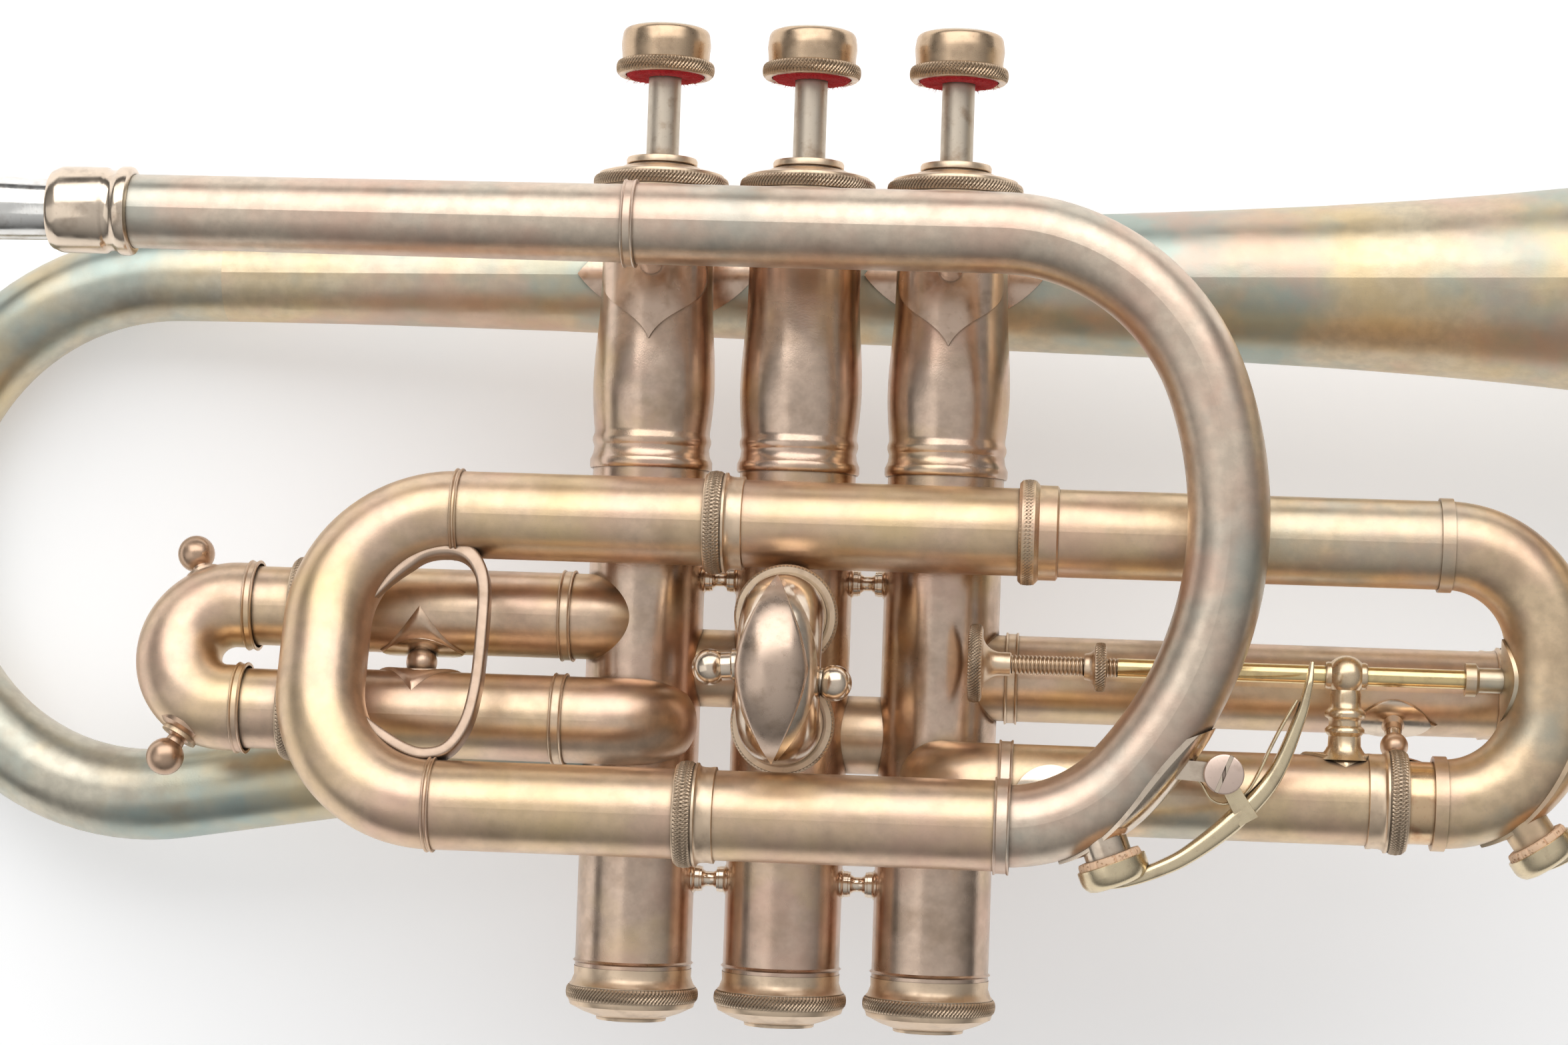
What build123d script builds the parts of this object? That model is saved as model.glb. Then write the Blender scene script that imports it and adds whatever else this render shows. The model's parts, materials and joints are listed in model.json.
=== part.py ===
from build123d import *
import os
from math import atan2, cos, degrees, radians, sin

# A three-valve cornet with a main tuning slide at the mouthpiece side and a
# quick-change slide at the bell side. Millimetres.
#
# Everything is laid out in the instrument's own directions:
#   x  along the tubes, towards the bell      (valve 2 is at x = 0)
#   y  along the valves, towards the buttons  (called height below)
#   z  towards the player's right-hand side   (called depth below)
# The finished pieces are then tipped about y, so that the cornet lies on its
# left side on the bell rim and the back bow, with its origin under its middle.

# ---- driving dimensions ----------------------------------------------------
WALL = 0.45                     # sheet thickness of the tubing
GAP = 0.04                      # radial running clearance of slides and pistons
TUBE_R = 6.9                    # outside radius of the fixed slide tubes
BORE_R = TUBE_R - WALL          # their bore
INNER_R = BORE_R - GAP          # outside radius of the inner slide tubes
RING_R = 8.2                    # knurled ring at each slide's mouth

VALVE_X = (-24.0, 0.0, 24.0)
CASING_R = 9.4
CASING_BORE_R = 8.35
PISTON_R = CASING_BORE_R - GAP
PORT_R = 5.85                   # bore of the knuckles and piston passages
STROKE = 12.8

CASING_TOP = 7.9                # joint between lower casing and baluster
CASING_FOOT = -72.6
CAP_SEAT = 53.2                 # underside of the top caps
COLLAR_TOP = 58.9
BUTTON_FOOT = 72.3
BUTTON_TOP = 80.3
FELT_FOOT = COLLAR_TOP + STROKE
STEM_R = 2.65
PISTON_TOP = 8.0
PISTON_FOOT = -52.0
CAP_FLOOR = -76.0               # inside face of the bottom caps

UPPER_Y, UPPER_Z = -1.1, 17.0   # upper slide run, just in front of the casings
LOWER_Y, LOWER_Z = -46.5, 32.0  # lower tuning run, level with the leadpipe
CROOK_Y = -41.1                 # lower leg of the quick-change slide
LEAD_Y, LEAD_Z = 44.0, 32.0     # leadpipe
LEAD_R, LEAD_TAIL_R = 6.25, 5.75
LEAD_TAIL_X, LEAD_FERRULE_X = -104.5, -24.8
FERRULE_WIDTH = 1.9
UPPER_MOUTH_X, LOWER_MOUTH_X = -13.0, -14.5
SLEEVE_X = 36.2                 # where the quick-change sleeve meets its tube
CROOK_MOUTH_X = 97.3
BOW_END_X = 102.7               # where the crook's bends begin
CROOK_BEND_R = 16.0
CROOK_X = BOW_END_X + CROOK_BEND_R
CROOK_START = BOW_END_X - 1.5
TUNING_BEND_X, TUNING_BEND_R = -52.5, 19.0

ROD_Y, ROD_Z, ROD_R = -21.8, 17.0, 1.45
GUIDE_X = 87.6
DISC_X, THREAD_X, THREAD_END_X = 29.0, 35.7, 52.3   # stop rod's disc and its thread
NUT_X = 47.3                    # small end of the stop nut
SOCKET_X = 105.8                # where the rod enters the socket on its bow

BELL_Z = -22.5
BELL_TAIL = (-100.0, 40.0)      # x and height of the bell's small end
BELL_RISE = 1.0                 # degrees that the bell axis climbs towards the rim
BELL_RIM_X, BELL_RIM_R = 213.0, 60.0
RIM_WIRE_R, RIM_PROUD = 1.15, 0.55
BOW_R = 7.6                     # outside radius of the back bow

PIVOT_R = 1.0                   # water key screws


# ---- building blocks -------------------------------------------------------
def facing(point, direction, across=(0, 0, 1)):
    """Location at a point with local z along direction and local x across it."""
    z_dir = Vector(direction).normalized()
    x_dir = Vector(across)
    if abs(x_dir.normalized().dot(z_dir)) > 0.99:
        x_dir = Vector(1, 0, 0)
    x_dir = x_dir - z_dir * x_dir.dot(z_dir)
    return Plane(origin=point, x_dir=x_dir, z_dir=z_dir).location


def turned(*outline):
    """Solid of revolution about z from closed (radius, height) points."""
    face = make_face(Plane.XZ * Polyline(*outline, close=True))
    return revolve(face, Axis.Z)


def rod(start, end, radius):
    """Plain round bar from one point to another."""
    run = Vector(end) - Vector(start)
    bar = Cylinder(radius, run.length, align=(Align.CENTER, Align.CENTER, Align.MIN))
    return facing(start, run) * bar


def pipe(start, end, outer, inner):
    """Straight tube from one point to another."""
    return rod(start, end, outer) - rod(start, end, inner)


def bent_rod(path, radius):
    """Round bar swept along a path."""
    section = Plane(origin=path @ 0, z_dir=path % 0) * Circle(radius)
    return sweep(section, path=path)


def bent_pipe(path, outer, inner):
    """Tube swept along a path."""
    return bent_rod(path, outer) - bent_rod(path, inner)


def ring(x, y, z, length, outer, inner):
    """Band round a tube that runs along x, centred on x."""
    half = length / 2
    return pipe((x - half, y, z), (x + half, y, z), outer, inner)


def mouth_ring(x, y, z, skirt, inner=TUBE_R):
    """Knurled ring at a slide's mouth, with a tapering skirt on its fixed side."""
    edge, cove = RING_R, inner + 0.55
    band = turned((inner, -1.5), (edge - 0.5, -1.5), (edge, -1.0), (edge, 1.0), (edge - 0.5, 1.5),
                  (cove, 1.7), (cove, 4.4), (inner + 0.2, 4.7), (inner, 4.7))
    return facing((x, y, z), (skirt, 0, 0)) * band


def ball(point, radius):
    return Pos(*point) * Sphere(radius)


def ribbon(points, thickness, width):
    """Flat strap bent along a smooth curve in the xy plane, width along z."""
    line = Spline(*points)
    flat = Plane(origin=line @ 0, x_dir=(0, 0, 1), z_dir=line % 0) * Rectangle(width, thickness)
    return sweep(flat, path=line)


def diamond(long, wide):
    """Pointed oval outline of a soldered brace foot, long axis along x."""
    half, side = long / 2, wide / 2
    edge = ThreePointArc((-half, 0), (0, side), (half, 0))
    return make_face(edge + ThreePointArc((half, 0), (0, -side), (-half, 0)))


def saddle(outline, point, outward, along, core, thickness=0.5):
    """Plate of the given outline, wrapped on a round surface of radius core.

    point lies on the surface's axis, outward is the way the plate faces and
    along is the direction of that axis."""
    place = facing(point, outward, along)
    block = place * extrude(outline, core + 4)
    reach = Vector(along).normalized() * 60
    centre = Vector(point)
    return block & pipe(centre - reach, centre + reach, core + thickness, core)


# ---- paths that several pieces share ---------------------------------------
def bend_point(angle, centre, radius):
    return (centre[0] + radius * cos(radians(angle)), centre[1] + radius * sin(radians(angle)))


def leadpipe_bend_path():
    """From the leadpipe round the right-hand side to the lower tuning run.

    Four tangent arcs in one plane: a wide one each side of the outermost
    point and a tighter one at each shoulder."""
    right_x, right_y = 68.2, 0.1
    top_wide, top_turn = 62.0, 20.0
    low_wide, low_turn = 57.7, 41.8
    top_tight = (LEAD_Y - right_y - top_wide * sin(radians(top_turn))) / (1 - sin(radians(top_turn)))
    low_tight = (right_y - LOWER_Y - low_wide * sin(radians(low_turn))) / (1 - sin(radians(low_turn)))
    wide_top = (right_x - top_wide, right_y)
    wide_low = (right_x - low_wide, right_y)
    top_join = bend_point(top_turn, wide_top, top_wide)
    low_join = bend_point(-low_turn, wide_low, low_wide)
    tight_top = bend_point(top_turn + 180, top_join, top_tight)
    tight_low = bend_point(180 - low_turn, low_join, low_tight)
    start = bend_point(90, tight_top, top_tight)
    end = bend_point(-90, tight_low, low_tight)
    run = Line((LEAD_FERRULE_X, LEAD_Y), start)
    shoulder = ThreePointArc(start, bend_point(55, tight_top, top_tight), top_join)
    side_top = ThreePointArc(top_join, bend_point(10, wide_top, top_wide), (right_x, right_y))
    side_low = ThreePointArc((right_x, right_y), bend_point(-16, wide_low, low_wide), low_join)
    heel = ThreePointArc(low_join, bend_point(-66, tight_low, low_tight), end)
    return Pos(0, 0, LEAD_Z) * Wire([run, shoulder, side_top, side_low, heel]), end[0]


def u_path(start, corner_a, corner_b, end, radius):
    return FilletPolyline(start, corner_a, corner_b, end, radius=radius)


LEAD_BEND, LOWER_FERRULE_X = leadpipe_bend_path()

FIRST_UP, FIRST_LOW = (-16.4, 5.0), (-33.0, 11.0)          # height, depth of each leg
FIRST_MOUTH_X, FIRST_BOW_X = -80.5, -89.8
SECOND_X, SECOND_UP, SECOND_LOW = 0.6, -15.6, -32.2
SECOND_MOUTH_Z, SECOND_BOW_Z = 23.5, 27.0
THIRD_Y, THIRD_NEAR, THIRD_FAR = -24.0, 1.0, -21.0
THIRD_MOUTH_X, THIRD_BOW_X = 118.4, 123.4


def first_leg_path(leg, turn_x, turn):
    """Leg of the first slide with the elbow that turns it into casing 1."""
    y, z = leg
    radius = 8.0
    centre = (turn_x, y, z - radius)
    a = radians(turn)
    middle = (turn_x + radius * sin(a / 2), y, centre[2] + radius * cos(a / 2))
    end = (turn_x + radius * sin(a), y, centre[2] + radius * cos(a))
    return Wire([Line((FIRST_MOUTH_X, y, z), (turn_x, y, z)), ThreePointArc((turn_x, y, z), middle, end)])


FIRST_PATHS = (first_leg_path(FIRST_UP, -34.0, 60), first_leg_path(FIRST_LOW, -29.1, 80))
THIRD_FAR_PATH = FilletPolyline((THIRD_MOUTH_X, THIRD_Y, THIRD_FAR), (VALVE_X[2], THIRD_Y, THIRD_FAR),
                                (VALVE_X[2], THIRD_Y, -4.0), radius=9.0)
ENTRY_PATH = FilletPolyline((SLEEVE_X - 1.0, CROOK_Y, UPPER_Z), (25.2, CROOK_Y, UPPER_Z),
                            (25.2, CROOK_Y, 4.0), radius=8.0)
TAIL_X, TAIL_Y = BELL_TAIL
BACK_BOW_PATH = FilletPolyline((TAIL_X, TAIL_Y, BELL_Z), (-150.0, 39.2, -22.3),
                               (-152.8, -56.2, -18.5), (-27.0, -35.2, -3.2), radius=(43.0, 42.5))


# ---- valves ----------------------------------------------------------------
UPRIGHT = Rot(-90, 0, 0)        # turns local z to +y


def valve(solid, index):
    return Pos(VALVE_X[index], 0, 0) * UPRIGHT * solid


def knuckle(a, b, y):
    return rod((VALVE_X[a], y, KNUCKLE_Z), (VALVE_X[b], y, KNUCKLE_Z), PORT_R)


KNUCKLE_Y = (-24.0, -34.0)      # heights of knuckles 1-2 and 2-3
KNUCKLE_Z = -2.5


def port_bores():
    """Every tube bore that opens into a casing."""
    bores = [knuckle(0, 1, KNUCKLE_Y[0]), knuckle(1, 2, KNUCKLE_Y[1])]
    bores += [bent_rod(path, PORT_R) for path in (*FIRST_PATHS, THIRD_FAR_PATH, ENTRY_PATH, BACK_BOW_PATH)]
    bores += [rod((SECOND_X, y, 2), (SECOND_X, y, SECOND_MOUTH_Z), PORT_R) for y in (SECOND_UP, SECOND_LOW)]
    bores.append(rod((VALVE_X[2], THIRD_Y, THIRD_NEAR), (THIRD_MOUTH_X, THIRD_Y, THIRD_NEAR), PORT_R))
    return bores


def casing_envelope(index, radius=CASING_R):
    x = VALVE_X[index]
    return rod((x, CASING_FOOT, 0), (x, CASING_TOP, 0), radius)


def casings():
    bores = port_bores()
    made = []
    for i in range(3):
        shell = turned((CASING_BORE_R, CASING_FOOT), (CASING_R, CASING_FOOT), (CASING_R, CASING_TOP),
                       (CASING_BORE_R, CASING_TOP))
        bead = turned((CASING_R, CASING_FOOT + 0.6), (CASING_R + 0.35, CASING_FOOT + 0.9),
                      (CASING_R, CASING_FOOT + 1.2))
        wall = valve(shell + bead, i)
        for bore in bores:
            wall = wall - bore
        made.append(wall)
    return made


BALUSTER_SIDE = ((9.8, CASING_TOP), (9.8, 9.6), (9.35, 11.4), (9.6, 12.9), (9.35, 14.0), (9.7, 17.0),
                 (9.9, 21.0), (9.75, 26.0), (9.3, 32.0), (9.1, 38.0), (9.05, CAP_SEAT))


def balusters():
    tube = turned((8.6, CASING_TOP), *BALUSTER_SIDE, (8.2, CAP_SEAT))
    return [valve(tube, i) for i in range(3)]


def baluster_envelope(index):
    return valve(turned((0, CASING_TOP), *BALUSTER_SIDE, (0, CAP_SEAT)), index)


def top_caps():
    cap = turned((STEM_R + 0.06, 56.4), (8.15, 55.2), (8.15, CAP_SEAT), (10.2, CAP_SEAT), (10.2, 53.5),
                 (11.05, 53.8), (11.05, 55.4), (10.4, 55.9), (7.5, 57.2), (5.6, 57.5), (5.45, COLLAR_TOP),
                 (STEM_R + 0.06, COLLAR_TOP))
    return [valve(cap, i) for i in range(3)]


def bottom_caps():
    cap = turned((0, CAP_FLOOR), (8.3, CAP_FLOOR), (8.3, CASING_FOOT - 0.01), (9.5, CASING_FOOT - 0.01),
                 (9.45, -74.0), (9.9, -75.2), (10.65, -75.6), (10.65, -77.8), (10.1, -78.2), (10.0, -78.8),
                 (5.6, -80.7), (5.6, -81.1), (4.6, -81.1), (3.4, -79.6), (0, -79.3))
    return [valve(cap, i) for i in range(3)]


def pistons():
    """Pistons with three passages: one in line at rest, two when pressed."""
    passages = ((-36, -24), (-24, -34), (-34, -41))     # heights at the left and right walls
    made = []
    for x, (left, right) in zip(VALVE_X, passages):
        body = rod((x, PISTON_FOOT, 0), (x, PISTON_TOP, 0), PISTON_R)
        body = body - rod((x - 9, left, 0), (x + 9, right, 0), 5.0)
        pressed = max(left, right) + STROKE
        body = body - rod((x - 9, pressed - 1, 0), (x + 9, pressed + 1, 0), 5.0)
        made.append(body)
    return made


def springs():
    """Coil under each piston, kept as the sleeve that its turns fill."""
    low, high = CAP_FLOOR + 0.05, PISTON_FOOT - 0.05
    coil = turned((6.2, low), (7.4, low), (7.4, high), (6.2, high))
    return [valve(coil, i) for i in range(3)]


def stems():
    stem = turned((0, PISTON_TOP), (5.5, PISTON_TOP), (5.5, PISTON_TOP + 2.5), (STEM_R, PISTON_TOP + 4),
                  (STEM_R, BUTTON_FOOT + 2.6), (0, BUTTON_FOOT + 2.6))
    return [valve(stem, i) for i in range(3)]


def buttons():
    button = turned((0, BUTTON_FOOT + 2.6), (6.5, BUTTON_FOOT + 2.6), (6.5, BUTTON_FOOT), (7.6, BUTTON_FOOT),
                    (8.0, BUTTON_FOOT + 0.5), (8.0, BUTTON_FOOT + 1.8), (7.25, BUTTON_FOOT + 2.5),
                    (7.3, BUTTON_TOP - 2.0), (6.95, BUTTON_TOP - 0.8), (6.2, BUTTON_TOP), (0, BUTTON_TOP))
    return [valve(button, i) for i in range(3)]


def stem_felts():
    felt = turned((STEM_R + 0.01, FELT_FOOT), (6.4, FELT_FOOT), (6.4, BUTTON_FOOT + 2.59),
                  (STEM_R + 0.01, BUTTON_FOOT + 2.59))
    return [valve(felt, i) for i in range(3)]


def second_leg_bars():
    bars = [rod((SECOND_X, y, 4), (SECOND_X, y, SECOND_MOUTH_Z), TUBE_R) for y in (SECOND_UP, SECOND_LOW)]
    return bars[0] + bars[1]


def knuckles():
    made = []
    for (a, b), y in zip(((0, 1), (1, 2)), KNUCKLE_Y):
        tube = pipe((VALVE_X[a], y, KNUCKLE_Z), (VALVE_X[b], y, KNUCKLE_Z), PORT_R + WALL, PORT_R)
        made.append(tube - casing_envelope(a) - casing_envelope(b) - second_leg_bars())
    return made


# ---- bell and back bow -----------------------------------------------------
def bell_radius(x):
    """Outside radius of the flare beyond x = 120."""
    return 16.2 * (108.0 / (228.0 - x)) ** 0.66


def bell_side():
    """Outside of the bell as (radius, place along its axis) points."""
    cone = [(-100.0, BOW_R), (-40.0, 8.8), (10.0, 10.5), (50.0, 11.9), (85.0, 13.5)]
    flare = [(x, bell_radius(x)) for x in (120, 145, 165, 182, 195, 204, 209)]
    return [(r, x) for x, r in cone + flare] + [(BELL_RIM_R, BELL_RIM_X)]


def on_bell_axis(solid):
    """Moves a solid drawn about z, with its x places along z, onto the bell."""
    axis = facing((0, 0, 0), (cos(radians(BELL_RISE)), sin(radians(BELL_RISE)), 0))
    foot = Vector(TAIL_X, TAIL_Y, BELL_Z) - (axis * Pos(0, 0, TAIL_X)).position
    return Pos(*foot) * axis * solid


def bell():
    """Conical tail running into the flare, with a rolled rim."""
    outer = bell_side()
    inner = [(r - WALL, x + 0.35 * (x > 200)) for r, x in outer]
    outside, inside = Spline(*outer), Spline(*inner)
    shell = make_face(Plane.XZ * (outside + Line(outer[-1], inner[-1]) + inside + Line(inner[0], outer[0])))
    rim = Plane.XZ * Pos(BELL_RIM_R + RIM_PROUD - RIM_WIRE_R, BELL_RIM_X - 0.3) * Circle(RIM_WIRE_R)
    solid = revolve(shell, Axis.Z) + revolve(rim, Axis.Z)
    return on_bell_axis(solid)


def bell_envelope():
    """The bell's tail as a solid, for cutting brace feet."""
    side = bell_side()
    ends = Polyline(side[-1], (0, side[-1][1]), (0, side[0][1]), side[0])
    return on_bell_axis(revolve(make_face(Plane.XZ * (Spline(*side) + ends)), Axis.Z))


def back_bow():
    return bent_pipe(BACK_BOW_PATH, BOW_R, BOW_R - WALL) - casing_envelope(0)


# ---- leadpipe and fixed tubes ----------------------------------------------
def receiver():
    body = turned((5.35, -115.4), (6.1, -115.4), (6.75, -113.6), (6.75, -107.0), (6.35, -106.4), (6.35, -105.0),
                  (6.9, -104.4), (6.9, -103.0), (LEAD_TAIL_R + 0.02, -102.6), (LEAD_TAIL_R + 0.02, LEAD_TAIL_X),
                  (5.3, LEAD_TAIL_X))
    return facing((0, LEAD_Y, LEAD_Z), (1, 0, 0)) * body


def leadpipe():
    cone = turned((LEAD_TAIL_R, LEAD_TAIL_X), (LEAD_R - 0.2, LEAD_FERRULE_X), (LEAD_R - 0.7, LEAD_FERRULE_X),
                  (LEAD_TAIL_R - 0.5, LEAD_TAIL_X))
    return facing((0, LEAD_Y, LEAD_Z), (1, 0, 0)) * cone


def leadpipe_branch():
    return bent_pipe(LEAD_BEND, LEAD_R, LEAD_R - WALL)


def tube_ferrules():
    return [ring(LEAD_FERRULE_X, LEAD_Y, LEAD_Z, FERRULE_WIDTH, LEAD_R + 0.5, LEAD_R),
            ring(LOWER_FERRULE_X, LOWER_Y, LOWER_Z, 2.4, TUBE_R + 0.45, TUBE_R),
            ring(SLEEVE_X - 0.8, CROOK_Y, UPPER_Z, 2.2, TUBE_R + 0.5, TUBE_R)]


def lower_tuning_tube():
    return pipe((LOWER_MOUTH_X, LOWER_Y, LOWER_Z), (LOWER_FERRULE_X, LOWER_Y, LOWER_Z), TUBE_R, BORE_R)


def upper_tuning_tube():
    """Open at the left for the tuning slide; at the right a smaller tube runs
    on inside the quick-change sleeve."""
    step = 28.0
    outer = pipe((UPPER_MOUTH_X, UPPER_Y, UPPER_Z), (SLEEVE_X, UPPER_Y, UPPER_Z), TUBE_R, BORE_R)
    inner = pipe((step, UPPER_Y, UPPER_Z), (SLEEVE_X + 42, UPPER_Y, UPPER_Z), INNER_R, INNER_R - WALL)
    joint = pipe((step, UPPER_Y, UPPER_Z), (SLEEVE_X, UPPER_Y, UPPER_Z), BORE_R + 0.1, INNER_R - 0.1)
    return outer + inner + joint


def lower_crook_tube():
    return pipe((SLEEVE_X - 1.0, CROOK_Y, UPPER_Z), (CROOK_MOUTH_X, CROOK_Y, UPPER_Z), TUBE_R, BORE_R)


def slide_mouth_rings():
    return [mouth_ring(UPPER_MOUTH_X + 1.5, UPPER_Y, UPPER_Z, 1),
            mouth_ring(LOWER_MOUTH_X + 1.5, LOWER_Y, LOWER_Z, 1),
            mouth_ring(CROOK_MOUTH_X - 1.5, CROOK_Y, UPPER_Z, -1)]


def entry_elbow():
    return bent_pipe(ENTRY_PATH, TUBE_R, PORT_R) - casing_envelope(2)


def first_slide_legs():
    return [bent_pipe(path, TUBE_R, BORE_R) - casing_envelope(0) for path in FIRST_PATHS]


def second_slide_legs():
    tubes = []
    for y in (SECOND_UP, SECOND_LOW):
        tubes.append(pipe((SECOND_X, y, 4), (SECOND_X, y, SECOND_MOUTH_Z), TUBE_R, BORE_R) - casing_envelope(1))
    return tubes


def third_slide_legs():
    near = pipe((VALVE_X[2], THIRD_Y, THIRD_NEAR), (THIRD_MOUTH_X, THIRD_Y, THIRD_NEAR), TUBE_R, BORE_R)
    far = bent_pipe(THIRD_FAR_PATH, TUBE_R, BORE_R)
    return [near - casing_envelope(2), far - casing_envelope(2)]


def valve_slide_rings():
    made = [mouth_ring(FIRST_MOUTH_X + 1.5, y, z, 1) for y, z in (FIRST_UP, FIRST_LOW)]
    made += [mouth_ring(THIRD_MOUTH_X - 1.5, THIRD_Y, z, -1) for z in (THIRD_NEAR, THIRD_FAR)]
    made += [ring(-35.8, y, z, 2.0, TUBE_R + 0.4, TUBE_R) for y, z in (FIRST_UP, FIRST_LOW)]
    made.append(ring(35.6, THIRD_Y, THIRD_NEAR, 2.0, TUBE_R + 0.4, TUBE_R))
    for y in (SECOND_UP, SECOND_LOW):
        made.append(pipe((SECOND_X, y, SECOND_MOUTH_Z - 2.2), (SECOND_X, y, SECOND_MOUTH_Z), 8.15, TUBE_R))
    return made


# ---- braces ----------------------------------------------------------------
def envelopes():
    """Solid bars that fill the fixed tubes and casings, for cutting brace feet."""
    bars = [casing_envelope(i) for i in range(3)]
    bars += [rod((-60, UPPER_Y, UPPER_Z), (SLEEVE_X, UPPER_Y, UPPER_Z), TUBE_R),
             rod((SLEEVE_X, CROOK_Y, UPPER_Z), (CROOK_MOUTH_X, CROOK_Y, UPPER_Z), TUBE_R),
             rod((VALVE_X[2], THIRD_Y, THIRD_NEAR), (THIRD_MOUTH_X, THIRD_Y, THIRD_NEAR), TUBE_R),
             bent_rod(LEAD_BEND, LEAD_R)]
    bars += [bent_rod(path, TUBE_R) for path in FIRST_PATHS]
    return bars


def trimmed(piece, bars):
    for bar in bars:
        piece = piece - bar
    return piece


def casing_link(a, y):
    """Turned bar with a collar at each end, between two casings."""
    middle, reach = (VALVE_X[a] + VALVE_X[a + 1]) / 2, 3.2
    bar = rod((middle - reach, y, 0), (middle + reach, y, 0), 1.0)
    for side in (-1, 1):
        bar = bar + rod((middle + side * 1.2, y, 0), (middle + side * reach, y, 0), 2.0)
    return bar


def tube_braces(bars):
    """Links between the casings and between neighbouring slide tubes."""
    made = [casing_link(a, y) for a in (0, 1) for y in (-9.5, -58.0)]
    up, low = Vector(-59.0, *FIRST_UP), Vector(-59.0, *FIRST_LOW)
    first = rod(up, low, 1.3) + ball((up + low) / 2, 2.4)
    third = rod((96.0, THIRD_Y, THIRD_NEAR), (96.0, CROOK_Y, UPPER_Z), 1.3)
    third = third + ball((96.0, (THIRD_Y + CROOK_Y) / 2, (THIRD_NEAR + UPPER_Z) / 2), 2.1)
    bend = rod((42.5, CROOK_Y, UPPER_Z), (42.5, LOWER_Y + 1.2, LOWER_Z), 1.5)
    mouth = rod((CROOK_MOUTH_X - 6.3, CROOK_Y, UPPER_Z), (CROOK_MOUTH_X, CROOK_Y, UPPER_Z), RING_R)
    made += [first, third, bend]
    made += [saddle(diamond(13, 8), up, (low - up), (1, 0, 0), TUBE_R),
             saddle(diamond(13, 8), low, (up - low), (1, 0, 0), TUBE_R),
             saddle(diamond(12, 8), (96.0, THIRD_Y, THIRD_NEAR), (0, -1, 1), (1, 0, 0), TUBE_R),
             saddle(diamond(11, 8), (42.5, CROOK_Y, UPPER_Z), (0, 0, 1), (1, 0, 0), TUBE_R)]
    fused = [made[i] for i in range(4)]
    fused.append(made[4] + made[7] + made[8])
    fused.append(made[5] + made[9])
    fused.append(made[6] + made[10])
    fused += [rod((x, UPPER_Y, 0), (x, UPPER_Y, UPPER_Z), 3.0) for x in (VALVE_X[1], VALVE_X[2])]
    return [trimmed(piece, bars + [mouth]) for piece in fused]


def spade(width, long):
    """Heart-shaped foot, point downwards, with its round end at the origin."""
    half = width / 2
    side = Spline((0, 2.5), (half * 0.9, 1.2), (half * 0.95, -long * 0.35), (half * 0.35, -long * 0.72),
                  (0, -long))
    return make_face(side + mirror(side, about=Plane.YZ))


def leadpipe_braces(bars):
    """Posts from the leadpipe to spade-shaped feet on balusters 1 and 3."""
    made = []
    joint = Vector(LEAD_FERRULE_X, LEAD_Y, LEAD_Z)
    half = Vector(FERRULE_WIDTH / 2, 0, 0)
    ferrule = rod(joint - half, joint + half, LEAD_R + 0.5)
    cone_end = rod(joint - half * 6, joint, LEAD_R)
    for index in (0, 2):
        x = VALVE_X[index]
        post = rod((x, 40.5, 8.0), (x, LEAD_Y - 1.5, LEAD_Z), 1.9)
        foot = Plane(origin=(x, 41.0, 0), x_dir=(1, 0, 0), z_dir=(0, 0, 1)) * extrude(spade(17, 12.5), 14)
        foot = foot & rod((x, 20, 0), (x, 50, 0), 9.95)
        made.append(trimmed(post + foot, [baluster_envelope(index), bars[6], ferrule, cone_end]))
    return made


def bell_braces():
    """Stubs and pointed feet that hold the bell tail to the balusters."""
    made = []
    tail = bell_envelope()
    axis = Vector(cos(radians(BELL_RISE)), sin(radians(BELL_RISE)), 0)
    for index, radius in ((0, 9.1), (2, 10.7)):
        x = VALVE_X[index]
        y = TAIL_Y + (x - TAIL_X) * sin(radians(BELL_RISE))
        stub = rod((x, y, -8.0), (x, y, BELL_Z), 3.0)
        foot = saddle(diamond(30, 15), (x, y, BELL_Z), (0, 0, 1), axis, radius, 0.9)
        made.append(stub + foot - tail - baluster_envelope(index))
    return made


def rod_guide(bars):
    """Turned post on the lower crook tube whose ball guides the stop rod."""
    post = turned((0, 0), (3.0, 6.0), (2.0, 8.5), (2.0, 10.0), (2.7, 10.4), (2.7, 11.4), (2.0, 11.8),
                  (2.0, 12.6), (2.6, 13.0), (2.6, 14.0), (1.9, 14.6), (1.9, 18.0), (0, 18.0))
    post = facing((GUIDE_X, CROOK_Y, ROD_Z), (0, 1, 0)) * post
    foot = saddle(diamond(14, 10), (GUIDE_X, CROOK_Y, ROD_Z), (0, 1, 0), (1, 0, 0), TUBE_R)
    mouth = rod((CROOK_MOUTH_X - 6.3, CROOK_Y, UPPER_Z), (CROOK_MOUTH_X, CROOK_Y, UPPER_Z), RING_R)
    guide = post + foot + ball((GUIDE_X, ROD_Y, ROD_Z), 3.15)
    guide = guide - rod((GUIDE_X - 9, ROD_Y, ROD_Z), (GUIDE_X + 9, ROD_Y, ROD_Z), ROD_R + 0.05)
    return trimmed(guide, [bars[4], mouth])


# ---- slides ----------------------------------------------------------------
def closed_leg(butt, start, y, z, depth):
    """Leg of a slide that meets its fixed tube end to end: a full-size tube,
    with a thinner one inside it that runs on into the fixed tube."""
    step = 6.0 if butt > start else -6.0
    outer = pipe((start, y, z), (butt, y, z), TUBE_R, BORE_R)
    joint = pipe((start, y, z), (start + step, y, z), BORE_R + 0.1, INNER_R - 0.1)
    inner = pipe((start, y, z), (butt + depth, y, z), INNER_R, INNER_R - WALL)
    return outer + joint + inner


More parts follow.
